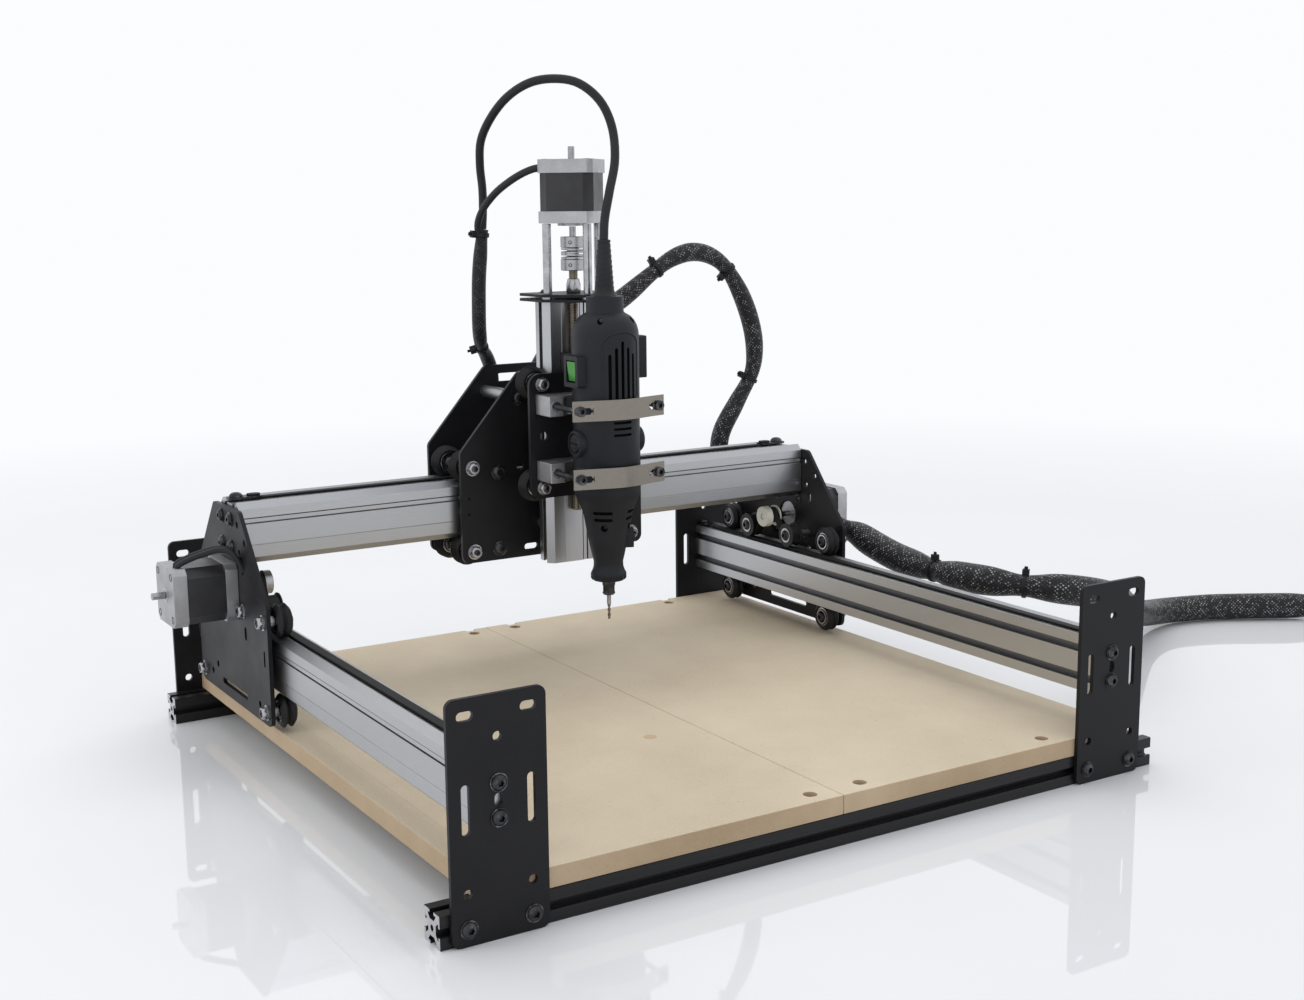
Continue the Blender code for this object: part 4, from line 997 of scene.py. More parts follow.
def build_plate(node, place, outline, holes, body, bevel=0.0004):
    """A black sheet-metal plate with its holes."""
    sheet = Piece()
    sheet.slab(place, outline, 0.0, PLATE, POWDER_BLACK, holes)
    sheet.made(node + "_sheet", body, "black_coated_steel", (node,), bevel)


def build_end_plate(name, x, toward):
    outline = rounded(box_outline((-0.03, 0), (0.03, 0.14)), 0.005)
    holes = [slot((0, 0.08), 0.008, 0.005, upright=True), circle((0, 0.116), 0.0027)]
    for side in (-1, 1):
        holes.append(slot((side * 0.019, 0.13), 0.01, 0.0055))
        holes.append(slot((side * 0.02, 0.0775), 0.029, 0.005, upright=True))
        holes.append(circle((side * 0.02, 0.03), 0.00275))
    place = in_y(toward, x, toward * END_PLATE_Y)
    build_plate(name, place, outline, holes, "base")
    screws = Piece()
    for u, v in ((0, 0.07), (0, 0.09), (-0.02, 0.01), (0.02, 0.01)):
        screws.button(moved(place, u, v, PLATE), 0.0047, 0.0024)
    screws.made(name + "_screws", "base", "zinc_steel")


def build_boards():
    notch = 0.004
    half_depth = 0.25
    for name, low, high, notches, screws in (
        ("board_left", -0.245, 0.00485, [-0.01], [-0.0115, -0.225]),
        ("board_right", 0.00515, 0.257, [0.19, 0.03], [0.028, 0.187]),
    ):
        outline = [(low, -half_depth), (high, -half_depth), (high, half_depth)]
        for x in notches:
            outline += [(x + notch, half_depth), (x + notch, half_depth - notch)]
            outline += [(x - notch, half_depth - notch), (x - notch, half_depth)]
        outline.append((low, half_depth))
        spots = [(x, y) for x in screws for y in (-0.237, 0.237)]
        piece = Piece()
        holes = [circle(spot, 0.0045) for spot in spots]
        piece.slab(in_z(z=0.0203), outline, 0.0, 0.0127, BOARD_FACE, holes, BOARD_EDGE)
        piece.made(name + "_panel", "base", "wood_fibreboard", (name,), 0.0005)
        fixings = Piece()
        for x, y in spots:
            fixings.cap_screw(in_z(x, y, 0.021), 0.0035, 0.005)
        if name == "board_left":
            fixings.rod(in_z(-0.035, -0.086, 0.0325), 0.0048, 0.0, 0.0006, BOARD_EDGE, 32)
        fixings.made(name + "_fixings", "base", "zinc_steel")


def toothed_strip(length):
    """A belt's outline along its length, with a tooth every 2 mm on its lower face."""
    pitch = 0.002
    half = length / 2
    back = 0.0007
    root = 0.0001
    outline = [(-half, back), (half, back)]
    for i in range(int(length / pitch)):
        at = half - i * pitch
        outline += [(at, -back), (at - 0.0009, -back), (at - 0.0011, -root), (at - 0.0018, -root)]
    return [*outline, (-half, -back)]


def build_y_belt(side_name, side):
    x = side * Y_BELT_X
    piece = Piece()
    piece.slab(in_x(1, x - 0.003, 0, 0.1011), toothed_strip(BELT_LONG), 0.0, BELT_WIDE, RUBBER)
    piece.made(f"y_belt_{side_name}_strip", "base", "belt_rubber", (f"y_belt_{side_name}",))
    clips = Piece()
    inward = -side * 0.0021
    outline = rounded(box_outline((-0.008, inward - 0.0041), (0.008, inward + 0.0041)), 0.002)
    for toward in (-1, 1):
        place = placed((x, toward * 0.2405, 0.1012), -toward * Y_AXIS, X_AXIS, Z_AXIS)
        clips.slab(place, outline, 0.0004, 0.0018, BLACK_OXIDE)
        clips.button(moved(place, -0.003, inward, 0.0012), 0.0034, 0.0018)
    clips.made(f"y_belt_{side_name}_clips", "base", "belt_rubber", bevel=0.0002)


# ---------------------------------------------------------------- wheels, idlers, pulleys, belts


def mirrored(half):
    """A profile's half, then its mirror image across depth 0."""
    return half + [(radius, -depth) for radius, depth in reversed(half)]


def wheel_shape():
    """A V-wheel with a bearing on each side: its races and shield."""
    piece = Piece()
    tyre = [(0.006, -0.0044), (0.0078, -0.0048), (0.008, -0.0055), (0.0094, -0.0055), (0.0099, -0.005)]
    tyre += [(0.0121, -0.0031), (0.0122, -0.0027), (0.012, -0.0023), (0.0098, -0.0002)]
    piece.turned(in_z(), mirrored(tyre), NYLON, 56, bored=True)
    for side in (-1, 1):
        face = placed((0, 0, side * 0.001), X_AXIS, Y_AXIS, side * Z_AXIS)
        outer = [(0.0067, 0.0), (0.0078, 0.0), (0.0078, 0.0038), (0.007, 0.004), (0.0067, 0.0037)]
        piece.turned(face, outer, ZINC, 48, bored=True)
        piece.tube(face, 0.004, 0.0068, 0.0028, 0.0034, BLACK_OXIDE, 48)
        piece.tube(face, 0.0026, 0.0042, 0.0, 0.0042, STEEL, 36)
    return piece


def build_wheels():
    mesh = wheel_shape().mesh("v_wheel")
    upright = (math.pi / 2, 0, 0)
    across = (0, math.pi / 2, 0)
    for side_name, side in SIDES:
        for height_name, up in (("lower", -1), ("upper", 1)):
            for end_name, back in (("front", -1), ("rear", 1)):
                y = GANTRY_Y + back * Y_WHEEL_SPREAD
                spot = (side * Y_WHEEL_X, y, Y_RAIL_Z + up * WHEEL_OFFSET)
                add_wheel(mesh, f"y_wheel_{side_name}_{height_name}_{end_name}", spot, across)
            for row_name, y in zip(("front", "rear"), X_WHEEL_Y):
                spot = (side * X_WHEEL_SPREAD, y, X_RAIL_Z + up * WHEEL_OFFSET)
                add_wheel(mesh, f"x_wheel_{row_name}_{side_name}_{height_name}", spot, upright)
        for height_name, z in Z_WHEEL_HEIGHTS:
            spot = (side * WHEEL_OFFSET, Z_WHEEL_Y, z)
            add_wheel(mesh, f"z_wheel_{side_name}_{height_name}", spot, upright)


def add_wheel(mesh, node, spot, rotation):
    obj = new_object(node + "_tyre", mesh)
    obj.location = spot
    obj.rotation_euler = rotation
    settle(obj, node, (node,))


def idler(piece, place):
    """A smooth idler between two flanges, with its bearing; depth 0 is its middle."""
    roller = [(0.0045, -0.0054), (0.01, -0.0054), (0.0102, -0.005), (0.0102, -0.0044)]
    roller.append((IDLER_RADIUS, -0.0036))
    piece.turned(place, mirrored(roller), NYLON, 44, bored=True)
    piece.tube(place, 0.0024, 0.0046, -0.005, 0.005, BLACK_OXIDE, 36)


def pulley_shape(piece, place, plate_side_depth, face_material):
    """A toothed pulley with two flanges, a hub, and the motor's shaft."""
    root = 0.0057
    teeth = 0.0037
    flange = 0.0012
    back = -teeth - flange
    face = back - 0.0045
    for depth in (back, teeth):
        rim = [(0.0089, depth), (0.009, depth + 0.0002), (0.009, depth + flange)]
        piece.turned(place, rim, face_material, 40)
    ridges = []
    count = 20
    for k in range(count):
        for turn, radius in ((0.0, PULLEY_RADIUS), (0.42, PULLEY_RADIUS), (0.5, root), (0.92, root)):
            angle = 2 * math.pi * (k + turn) / count
            ridges.append((radius * math.cos(angle), radius * math.sin(angle)))
    piece.slab(place, ridges, -teeth, teeth, MILLED_ALUMINIUM)
    hub = [(0.0026, back), (0.0026, face + 0.0002), (0.0028, face), (0.0084, face)]
    hub += [(0.0087, face + 0.0002), (0.0088, face + 0.0005), (0.0088, back)]
    piece.turned(place, hub, face_material, 48, bored=True)
    shaft = [(0.0021, face + 0.0008), (0.0025, face + 0.0012), (0.0025, plate_side_depth)]
    piece.turned(place, shaft, STEEL, 24)


def idler_loop(idler_z, pulley_z):
    """The belt's middle line under one idler, over the pulley and under the other idler."""
    idler_reach = IDLER_RADIUS + HALF_BELT
    pulley_reach = PULLEY_RADIUS + HALF_BELT
    rise = pulley_z - idler_z
    slope = math.atan2(rise, IDLER_SPREAD)
    lean = slope - math.acos((idler_reach + pulley_reach) / math.hypot(IDLER_SPREAD, rise))
    half = []
    for u, v, reach, first, last in (
        (-IDLER_SPREAD, idler_z, idler_reach, -math.radians(80), lean),
        (0, pulley_z, pulley_reach, math.pi + lean, math.pi / 2),
    ):
        steps = 14
        for i in range(steps + 1):
            angle = first + (last - first) * i / steps
            half.append((u + reach * math.cos(angle), v + reach * math.sin(angle)))
    return half + [(-u, v) for u, v in reversed(half[:-1])]


def belt_ribbon(piece, place, line):
    """A belt along a line, toothed on the side that meets the pulley."""
    points = smooth_route([(u, v, 0) for u, v in line], 0.001)
    top = []
    bottom = []
    for i, point in enumerate(points):
        ahead = along_at(points, i)
        normal = Vector((-ahead.y, ahead.x, 0))
        top.append((point + 0.0006 * normal).xy)
        bottom.append((point - (0.0007 if i % 2 else 0.0001) * normal).xy)
    outline = [tuple(p) for p in bottom + top[::-1]]
    piece.slab(place, outline, -BELT_WIDE / 2, BELT_WIDE / 2, RUBBER)


# ---------------------------------------------------------------- motors


def chamfered(half, chamfer):
    flat = half - chamfer
    outline = []
    corner = [(half, -flat), (half, flat)]
    for _ in range(4):
        outline += corner
        corner = [(-v, u) for u, v in corner]
    return outline


def build_motor(name, place, body, rear_shaft=0.01):
    """A stepping motor: cast front and rear caps, laminated body, boss, screws and shaft."""
    piece = Piece()
    front_cap = 0.0087
    rear_cap = MOTOR_LONG - 0.01
    cap = rounded(chamfered(MOTOR_HALF, 0.0042), 0.0012, 3)
    piece.slab(place, cap, 0.0, front_cap, CAST_ALUMINIUM)
    piece.slab(place, chamfered(MOTOR_HALF - 0.0007, 0.0065), front_cap, rear_cap, LAMINATIONS)
    piece.slab(place, cap, rear_cap, MOTOR_LONG, CAST_ALUMINIUM)
    piece.turned(place, [(0.0108, -0.002), (0.011, -0.0018), (0.011, 0.0)], CAST_ALUMINIUM, 40)
    rear = moved(place, 0, 0, MOTOR_LONG)
    # Painted shade: a near-black disc sunk into each of the rear cap's screw holes.
    well = [(0.0027, -0.0001), (0.0027, 0.0002), (0.0022, 0.0002), (0.0021, -0.0012)]
    for u, v in four(SCREW_SPREAD, SCREW_SPREAD):
        piece.turned(moved(rear, u, v), well, PAINTED_HOLLOW_SHADE, 20)
    bearing = [(0.0055, -0.0001), (0.0055, 0.0003), (0.004, 0.0003), (0.0038, -0.0004)]
    piece.turned(rear, bearing, ZINC, 32)
    shaft = [(0.0025, 0.0), (0.0025, rear_shaft - 0.0004), (0.0021, rear_shaft)]
    piece.turned(rear, shaft, STEEL, 24)
    piece.made(name + "_case", body, "motor_black", (name,), 0.0004)


def add_lead(name, body, route, radius):
    """A motor's fixed lead between two of its machine's parts."""
    piece = Piece()
    sweep(piece, smooth_route(route, 0.003), steady(radius), CORD_RUBBER, 14)
    piece.made(name, body, "cord_rubber", sharp_degrees=60)


# ---------------------------------------------------------------- gantry


def build_gantry():
    for side_name, side in SIDES:
        build_y_plate(side_name, side)
        node = f"y_pulley_{side_name}"
        piece = Piece()
        face = PALE_NYLON if side > 0 else MILLED_ALUMINIUM
        pulley_shape(piece, in_x(side, side * Y_BELT_X, GANTRY_Y, Y_PULLEY_Z), 0.019, face)
        piece.made(node + "_wheel", node, "bare_aluminium", (node,))
        outer = side * (Y_PLATE_X + PLATE + MOTOR_GAP)
        build_motor(f"y_motor_{side_name}", in_x(side, outer, GANTRY_Y, Y_PULLEY_Z), "gantry")
        loop = Piece()
        belt_ribbon(loop, in_x(1, side * Y_BELT_X, GANTRY_Y), idler_loop(Y_IDLER_Z, Y_PULLEY_Z))
        loop.made(f"y_belt_loop_{side_name}", "gantry", "belt_rubber")
    for name, toward in (("x_rail_front", -1), ("x_rail_rear", 1)):
        low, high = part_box(name)
        back = high[1] if toward < 0 else low[1]
        place = placed((low[0], back, X_RAIL_Z), Z_AXIS, toward * Y_AXIS, X_AXIS)
        build_v_rail(name, place, high[0] - low[0], "gantry", SILVER_X)
    build_x_belt()
    for number in range(2):
        route = [(x, y + 0.0042 * number, z + 0.0006 * number) for x, y, z in Y_MOTOR_LEAD_ROUTE]
        route.append((-0.252, 0.1085 + 0.001 * number, 0.1415 + 0.003 * number))
        add_lead(f"y_motor_lead_{number}", "gantry", route, 0.0021)


def build_y_plate(side_name, side):
    foot = 0.078
    shoulder = 0.028
    knee = 0.125
    half = [(foot, 0.038), (foot, knee), (shoulder, 0.184)]
    outline = [(GANTRY_Y + u, v) for u, v in half]
    outline += [(GANTRY_Y - u, v) for u, v in reversed(half)]
    bolt_holes = [(0.116, 0.174), (0.114, 0.154), (0.102, 0.163)]
    bolt_holes += [(0.085, 0.05), (0.191, 0.05), (0.178, 0.058)]
    holes = [circle(spot, 0.0026) for spot in bolt_holes]
    holes.append(circle((GANTRY_Y, Y_PULLEY_Z), BOSS_HOLE, 40))
    holes += [
        slot((0.109, 0.096), 0.01, 0.0045, upright=True),
        slot((0.109, 0.143), 0.009, 0.0045, upright=True),
        slot((GANTRY_Y, 0.048), 0.056, 0.0045),
        slot((0.0705, 0.086), 0.012, 0.003, upright=True),
    ]
    place = in_x(side, side * Y_PLATE_X)
    node = f"y_plate_{side_name}"
    build_plate(node, place, rounded(outline, 0.006), holes, "gantry")
    piece = Piece()
    inner = in_x(-side, side * Y_PLATE_X)
    outer = moved(place, 0, 0, PLATE)
    wheels = [(GANTRY_Y + u, Y_RAIL_Z + v) for u, v in four(Y_WHEEL_SPREAD, WHEEL_OFFSET)]
    add_axles(piece, inner, outer, wheels, Y_PLATE_X - Y_WHEEL_X - WHEEL_HALF, 1.05)
    add_belt_drive(piece, inner, outer, (GANTRY_Y, Y_PULLEY_Z, Y_IDLER_Z), Y_PLATE_X - Y_BELT_X)
    for y in (0.13, 0.1503):
        for up in (-1, 1):
            piece.button(moved(outer, y, X_RAIL_Z + 0.01 * up), 0.0046, 0.0022)
    if side > 0:
        gland = [(0.01, 0.0), (0.01, 0.003), (0.0092, 0.0042), (0.008, 0.0047)]
        piece.turned(moved(inner, 0.184, 0.14), gland, NYLON, 36)
    piece.made(node + "_hardware", "gantry", "zinc_steel")


def add_axles(piece, inner, outer, spots, spacer, nut_scale=1.0):
    """Wheel axles on a plate's inner side, each with its lock nut on the outer side."""
    for u, v in spots:
        wheel_axle(piece, moved(inner, u, v), spacer)
        piece.lock_nut(moved(outer, u, v), nut_scale)


def add_belt_drive(piece, inner, outer, drive, middle):
    """Two idlers `middle` away from a plate, and the four screws of the motor between them."""
    u, pulley_z, idler_z = drive
    idlers = [(u - IDLER_SPREAD, idler_z), (u + IDLER_SPREAD, idler_z)]
    add_axles(piece, inner, outer, idlers, middle - WHEEL_HALF)
    for spot in idlers:
        idler(piece, moved(inner, *spot, middle))
    for a, b in four(SCREW_SPREAD, SCREW_SPREAD):
        piece.button(moved(inner, u + a, pulley_z + b), 0.0028, 0.0016)


def wheel_axle(piece, place, spacer):
    """A spacer, the axle through a wheel and the screw's button head on the far side."""
    sleeve = [(0.004, 0.0), (0.004, spacer - 0.0004), (0.0036, spacer)]
    piece.turned(place, sleeve, MILLED_ALUMINIUM, 28)
    end = spacer + 2 * WHEEL_HALF + 0.0004
    piece.rod(place, 0.0024, spacer - 0.001, end, STEEL, 20)
    piece.rod(place, 0.0062, end - 0.0008, end, ZINC, 32)
    piece.button(moved(place, 0, 0, end - 0.0006), 0.0044, 0.0022)


def build_x_belt():
    piece = Piece()
    strip = placed((0, X_BELT_Y - 0.003, X_BELT_Z), X_AXIS, Z_AXIS, Y_AXIS)
    piece.slab(strip, toothed_strip(BELT_LONG), 0.0, BELT_WIDE, RUBBER)
    piece.made("x_belt_strip", "gantry", "belt_rubber", ("x_belt",))
    clips = Piece()
    for toward in (-1, 1):
        place = placed((toward * 0.2365, X_BELT_Y, X_BELT_Z), -toward * X_AXIS, Y_AXIS, Z_AXIS)
        clips.slab(place, rounded(centred(0.0122, 0.0052), 0.0022), 0.0002, 0.0018, BLACK_OXIDE)
        clips.button(moved(place, -0.006, 0, 0.0014), 0.005, 0.0028)
        clips.slab(place, slot((0.007, 0), 0.01, 0.007), 0.0018, 0.0032, RUBBER)
    clips.made("x_belt_clips", "gantry", "belt_rubber", bevel=0.0002)


# ---------------------------------------------------------------- X carriage


def x_plate_outline():
    half = [(0.08, 0.125), (0.08, 0.211), (0.029, 0.27)]
    return rounded(half + [(-u, v) for u, v in reversed(half)], 0.006)


def build_x_carriage():
    wheels = [(u, X_RAIL_Z + v) for u, v in four(X_WHEEL_SPREAD, WHEEL_OFFSET)]
    tubes = [(-0.029, 0.2495), (0.029, 0.2495)]
    build_x_plate_front(wheels, tubes)
    build_x_plate_rear(wheels, tubes)
    piece = Piece()
    pulley_shape(piece, in_y(1, 0, X_BELT_Y, X_PULLEY_Z), 0.021, MILLED_ALUMINIUM)
    piece.made("x_pulley_wheel", "x_pulley", "bare_aluminium", ("x_pulley",))
    loop = Piece()
    belt_ribbon(loop, in_y(1, 0, X_BELT_Y), idler_loop(X_IDLER_Z, X_PULLEY_Z))
    loop.made("x_belt_loop", "x_carriage", "belt_rubber")
    motor_y = X_PLATE_REAR_Y + PLATE + MOTOR_GAP
    build_motor("x_motor", in_y(1, 0, motor_y, X_PULLEY_Z), "x_carriage")
    low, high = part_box("z_rail")
    place = placed((0, high[1], low[2]), X_AXIS, -Y_AXIS, Z_AXIS)
    build_v_rail("z_rail", place, high[2] - low[2], "x_carriage", SILVER_Z)
    build_z_drive()


def build_x_plate_front(wheels, tubes):
    holes = []
    for side in (-1, 1):
        holes.append(circle((side * 0.029, 0.1965), 0.0033))
        holes.append(slot((side * 0.021, 0.1325), 0.012, 0.005))
        holes += [circle((side * 0.0735, z), 0.0012, 16) for z in (0.163, 0.175)]
    place = in_y(1, 0, X_PLATE_FRONT_Y)
    outer = in_y(-1, 0, X_PLATE_FRONT_Y)
    inner = moved(place, 0, 0, PLATE)
    build_plate("x_plate_front", place, x_plate_outline(), holes, "x_carriage")
    piece = Piece()
    spacer = X_WHEEL_Y[0] - WHEEL_HALF - X_PLATE_FRONT_Y - PLATE
    add_axles(piece, inner, outer, wheels, spacer, 1.1)
    for u, v in ((-0.0485, 0.1337), (-0.0485, 0.1936), (0.0485, 0.1337), (0.0485, 0.1936), *tubes):
        piece.button(moved(outer, u, v), 0.005, 0.0024)
    length = X_PLATE_REAR_Y - X_PLATE_FRONT_Y - PLATE
    for u, v in tubes:
        piece.rod(moved(inner, u, v), 0.005, 0.0, length, MILLED_ALUMINIUM, 36)
    for u, v in four(0.01, 0.05):
        piece.rod(moved(outer, u, 0.2 + v), 0.005, 0.0, 0.0128, MILLED_ALUMINIUM, 32)
    piece.made("x_plate_front_hardware", "x_carriage", "zinc_steel")


def build_x_plate_rear(wheels, tubes):
    holes = [circle((0, X_PULLEY_Z), BOSS_HOLE, 40), slot((0, 0.2598), 0.038, 0.0065)]
    holes += [slot((u, 0.1325), 0.012, 0.005) for u in (-0.021, 0.021)]
    place = in_y(1, 0, X_PLATE_REAR_Y)
    outer = moved(place, 0, 0, PLATE)
    inner = in_y(-1, 0, X_PLATE_REAR_Y)
    build_plate("x_plate_rear", place, x_plate_outline(), holes, "x_carriage")
    piece = Piece()
    add_axles(piece, inner, outer, wheels, X_PLATE_REAR_Y - X_WHEEL_Y[1] - WHEEL_HALF)
    add_belt_drive(piece, inner, outer, (0, X_PULLEY_Z, X_IDLER_Z), X_PLATE_REAR_Y - X_BELT_Y)
    for u, v in tubes:
        piece.button(moved(outer, u, v), 0.0045, 0.0022)
    piece.made("x_plate_rear_hardware", "x_carriage", "zinc_steel")


def build_z_drive():
    """The Z motor on its standoffs, and the lead screw with its coupler below."""
    half = [(0.0315, 0.1035), (0.029, 0.07), (0.0045, 0.045)]
    outline = rounded([(-u, v) for u, v in half] + half[::-1], 0.004)
    hole = [circle((0, SCREW_Y), 0.0042, 32)]
    sheets = Piece()
    for low, high in ((0.3243, 0.3263), (0.328, 0.33)):
        sheets.slab(in_z(), outline, low, high, POWDER_BLACK, hole)
    sheets.made("z_mount_sheets", "x_carriage", "black_coated_steel", ("z_motor_mount",), 0.0003)
    posts = Piece()
    post = [(0.0032, 0.33), (0.00325, 0.3304), (0.00325, 0.3813), (0.0032, 0.3817)]
    for x, y in ((-0.0219, SCREW_Y), (0.0219, SCREW_Y), (0, SCREW_Y - 0.0219)):
        posts.rod(in_z(x, y), 0.0044, 0.3263, 0.328, ZINC, 28)
        posts.turned(in_z(x, y), post, ZINC, 28)
    for x in (-0.012, 0.012):
        posts.button(in_z(x, 0.094, 0.33), 0.0042, 0.002)
    posts.made("z_mount_posts", "x_carriage", "zinc_steel")
    turn = math.radians(45)
    across = Vector((math.cos(turn), math.sin(turn), 0))
    place = placed((0, SCREW_Y, Z_MOTOR_BASE), across, Z_AXIS.cross(across), Z_AXIS)
    build_motor("z_motor", place, "x_carriage", 0.0095)
    add_lead("z_motor_lead", "x_carriage", Z_MOTOR_LEAD_ROUTE, 0.0028)
    build_lead_screw()


def build_lead_screw():
    piece = Piece()
    place = in_z(0, SCREW_Y)
    thread(piece, place, 0.003, 0.00325, 0.165, 0.33, 0.002)
    nut = [(0.0058, 0.3303, 6), (0.0062, 0.331, 6), (0.0062, 0.336, 6)]
    nut += [(0.0054, 0.3368), (0.0045, 0.3405), (0.004, 0.341)]
    piece.turned(place, nut, ZINC, 36)
    piece.rod(place, 0.00325, 0.3405, 0.3475, BRASS, 28)
    coupler(piece, place, 0.347, 0.372)
    piece.rod(place, 0.0025, 0.3715, 0.3795, STEEL, 24)
    piece.made("lead_screw_shaft", "lead_screw", "zinc_steel", ("lead_screw",))


def thread(piece, place, root, crest, low, high, pitch):
    """A screw thread: a ring of points that rises by one pitch each turn."""
    sides = 16
    steps = round((high - low) / pitch * sides)
    section = [(root - 0.0012, 0.0), (root, -0.5), (crest, -0.12), (crest, 0.12), (root, 0.48)]
    rings = []
    for k in range(steps + 1):
        angle = 2 * math.pi * k / sides
        rise = low + (high - low) * k / steps
        points = [(r * math.cos(angle), r * math.sin(angle), rise + pitch * up) for r, up in section]
        rings.append(piece.ring(place, points))
    piece.skin(rings, BRASS)
    piece.rod(place, root - 0.0004, low, high, BRASS, 24)


def coupler(piece, place, low, high):
    """A flexible coupler: two solid ends and a middle cut into thin turns, with grub screws."""
    radius = 0.00925
    bore = 0.0033
    end = 0.0082
    slit = 0.0006
    for bottom, top in ((low, low + end), (high - end, high)):
        profile = [(bore, bottom), (radius - 0.0005, bottom), (radius, bottom + 0.0005)]
        profile += [(radius, top - 0.0002), (radius - 0.0002, top), (bore, top)]
        piece.turned(place, profile, MILLED_ALUMINIUM, 44, bored=True)
    turns = 4
    half = ((high - low - 2 * end) - slit * (turns + 1)) / turns / 2
    for k in range(turns):
        bottom = low + end + slit + k * (2 * half + slit)
        tilt = Matrix.Rotation(math.radians(2.2 if k % 2 else -2.2), 4, "Y")
        middle = moved(place, 0, 0, bottom + half) @ tilt
        piece.tube(middle, bore, radius - 0.0003, -half, half, MILLED_ALUMINIUM, 44)
    piece.rod(place, 0.0045, low + end - 0.001, high - end + 0.001, BLACK_OXIDE, 24)
    grub = [(0.0015, 0.0), (0.0015, 0.0008), (0.0008, 0.0008, 6), (0.0008, 0.0001, 6)]
    for depth in (low + end / 2, high - end / 2):
        for angle in (-2.3, -0.75):
            outward = Vector((math.cos(angle), math.sin(angle), 0))
            spot = place @ Vector((0, 0, depth)) + outward * (radius - 0.0007)
            screw = placed(spot, Z_AXIS, Z_AXIS.cross(outward), outward)
            piece.turned(screw, grub, BLACK_OXIDE, 18)


# ---------------------------------------------------------------- Z carriage


def build_z_carriage():
    build_z_plate()
    for name, bottom in CLAMP_HEIGHTS:
        build_clamp(name, bottom)
    build_tool()
    build_switch()
    build_spindle()


def build_z_plate():
    outline = rounded(box_outline((-0.043, 0.178), (0.043, 0.272)), 0.009, 8)
    holes = [circle((x, 0.225), 0.0035) for x in (-0.0314, 0.0314)]
    holes.append(circle((0.0, 0.225), 0.0026))
    place = in_y(1, 0, Z_PLATE_Y)
    build_plate("z_plate", place, outline, holes, "z_carriage")
    piece = Piece()
    wheels = [(side * WHEEL_OFFSET, z) for _, side in SIDES for _, z in Z_WHEEL_HEIGHTS]
    spacer = Z_WHEEL_Y - WHEEL_HALF - Z_PLATE_Y - PLATE
    add_axles(piece, moved(place, 0, 0, PLATE), in_y(-1, 0, Z_PLATE_Y), wheels, spacer, 1.05)
    block = rounded(box_outline((0.06, 0.2725), (0.0764, 0.286)), 0.001, 3)
    piece.slab(in_x(x=-0.01), block, 0.0, 0.02, NYLON)
    tail = rounded(box_outline((0.0692, 0.258), (0.0764, 0.273)), 0.001, 3)
    for x in (-0.01, 0.0045):
        piece.slab(in_x(x=x), tail, 0.0, 0.0055, NYLON)
    piece.made("z_plate_hardware", "z_carriage", "zinc_steel")


CLAMP_BOW = [(0.0, 0.001), (0.012, 0.0026), (0.026, 0.007), (0.0383, 0.01)]


def bow_depth(x):
    """How far back a clamp's strap stands at a distance from its middle."""
    reach = abs(x)
    for (x0, y0), (x1, y1) in zip(CLAMP_BOW, CLAMP_BOW[1:]):
        if reach <= x1:
            share = (reach - x0) / (x1 - x0)
            eased = share if x0 else share**1.6
            return y0 + (y1 - y0) * eased
    return CLAMP_BOW[-1][1]


def build_clamp(name, bottom):
    half = 0.0383
    front = 0.0435
    back = Z_PLATE_Y - 0.0003
    right = [(0.014, 0.0535), (0.0264, front), (half, front), (half, back)]
    piece = Piece()
    block = [(-u, v) for u, v in reversed(right)] + right
    piece.slab(in_z(z=bottom), block, 0.0, CLAMP_DEPTH, CAST_ALUMINIUM)
    piece.made(f"clamp_{name}_block", "z_carriage", "bare_aluminium", (f"clamp_{name}",), 0.0006)
    build_strap(name, bottom, half)
    bolts = Piece()
    start = front + 0.002
    length = start - bow_depth(0.033)
    thread_end = length - 0.012
    rings = [(0.0021, 0.0)]
    for k in range(int(thread_end / 0.0008)):
        rings += [(0.0021, 0.0004 + 0.0008 * k), (0.0019, 0.0008 + 0.0008 * k)]
    rings += [(0.0021, thread_end + 0.0008), (0.0021, length)]
    for x in (-0.033, 0.033):
        place = in_y(-1, x, start, bottom + CLAMP_DEPTH / 2)
        bolts.turned(place, rings, BLACK_OXIDE, 16)
        bolts.rod(place, 0.0046, length, length + 0.0008, ZINC, 28)
        bolts.cap_screw(moved(place, 0, 0, length + 0.0008), 0.0037, 0.0034)
        bolts.rod(place, 0.0038, 0.0018, 0.003, ZINC, 28)
    bolts.made(f"clamp_{name}_bolts", "z_carriage", "zinc_steel")


def build_strap(name, bottom, half):
    """A bowed steel strap with a slot near each end."""
    columns = 96
    slot_low, slot_high = 0.0235, 0.036
    piece = Piece()
    grid = []
    for i in range(columns + 1):
        x = -half + 2 * half * i / columns
        slant = max(0.0, *(0.0024 - 1.2 * abs(abs(x) - edge) for edge in (slot_low, slot_high)))
        if not slot_low <= abs(x) <= slot_high:
            slant = 0.0
        column = (0.0, 0.0051 + slant, 0.0099 - slant, CLAMP_DEPTH)
        grid.append([piece.bm.verts.new((x, bow_depth(x), bottom + z)) for z in column])
    for i, (left, right) in enumerate(zip(grid, grid[1:])):
        x = -half + 2 * half * (i + 0.5) / columns
        for k in range(3):
            if k != 1 or not slot_low < abs(x) < slot_high:
                piece.bm.faces.new((left[k], right[k], right[k + 1], left[k + 1]))
    bmesh.ops.recalc_face_normals(piece.bm, faces=piece.bm.faces)
    bmesh.ops.solidify(piece.bm, geom=piece.bm.faces[:], thickness=0.0014)
    piece.paint(piece.bm.faces, SPRING_STEEL)
    piece.made(f"clamp_{name}_strap", "z_carriage", "bare_aluminium", bevel=0.0002)


# ---------------------------------------------------------------- hand tool


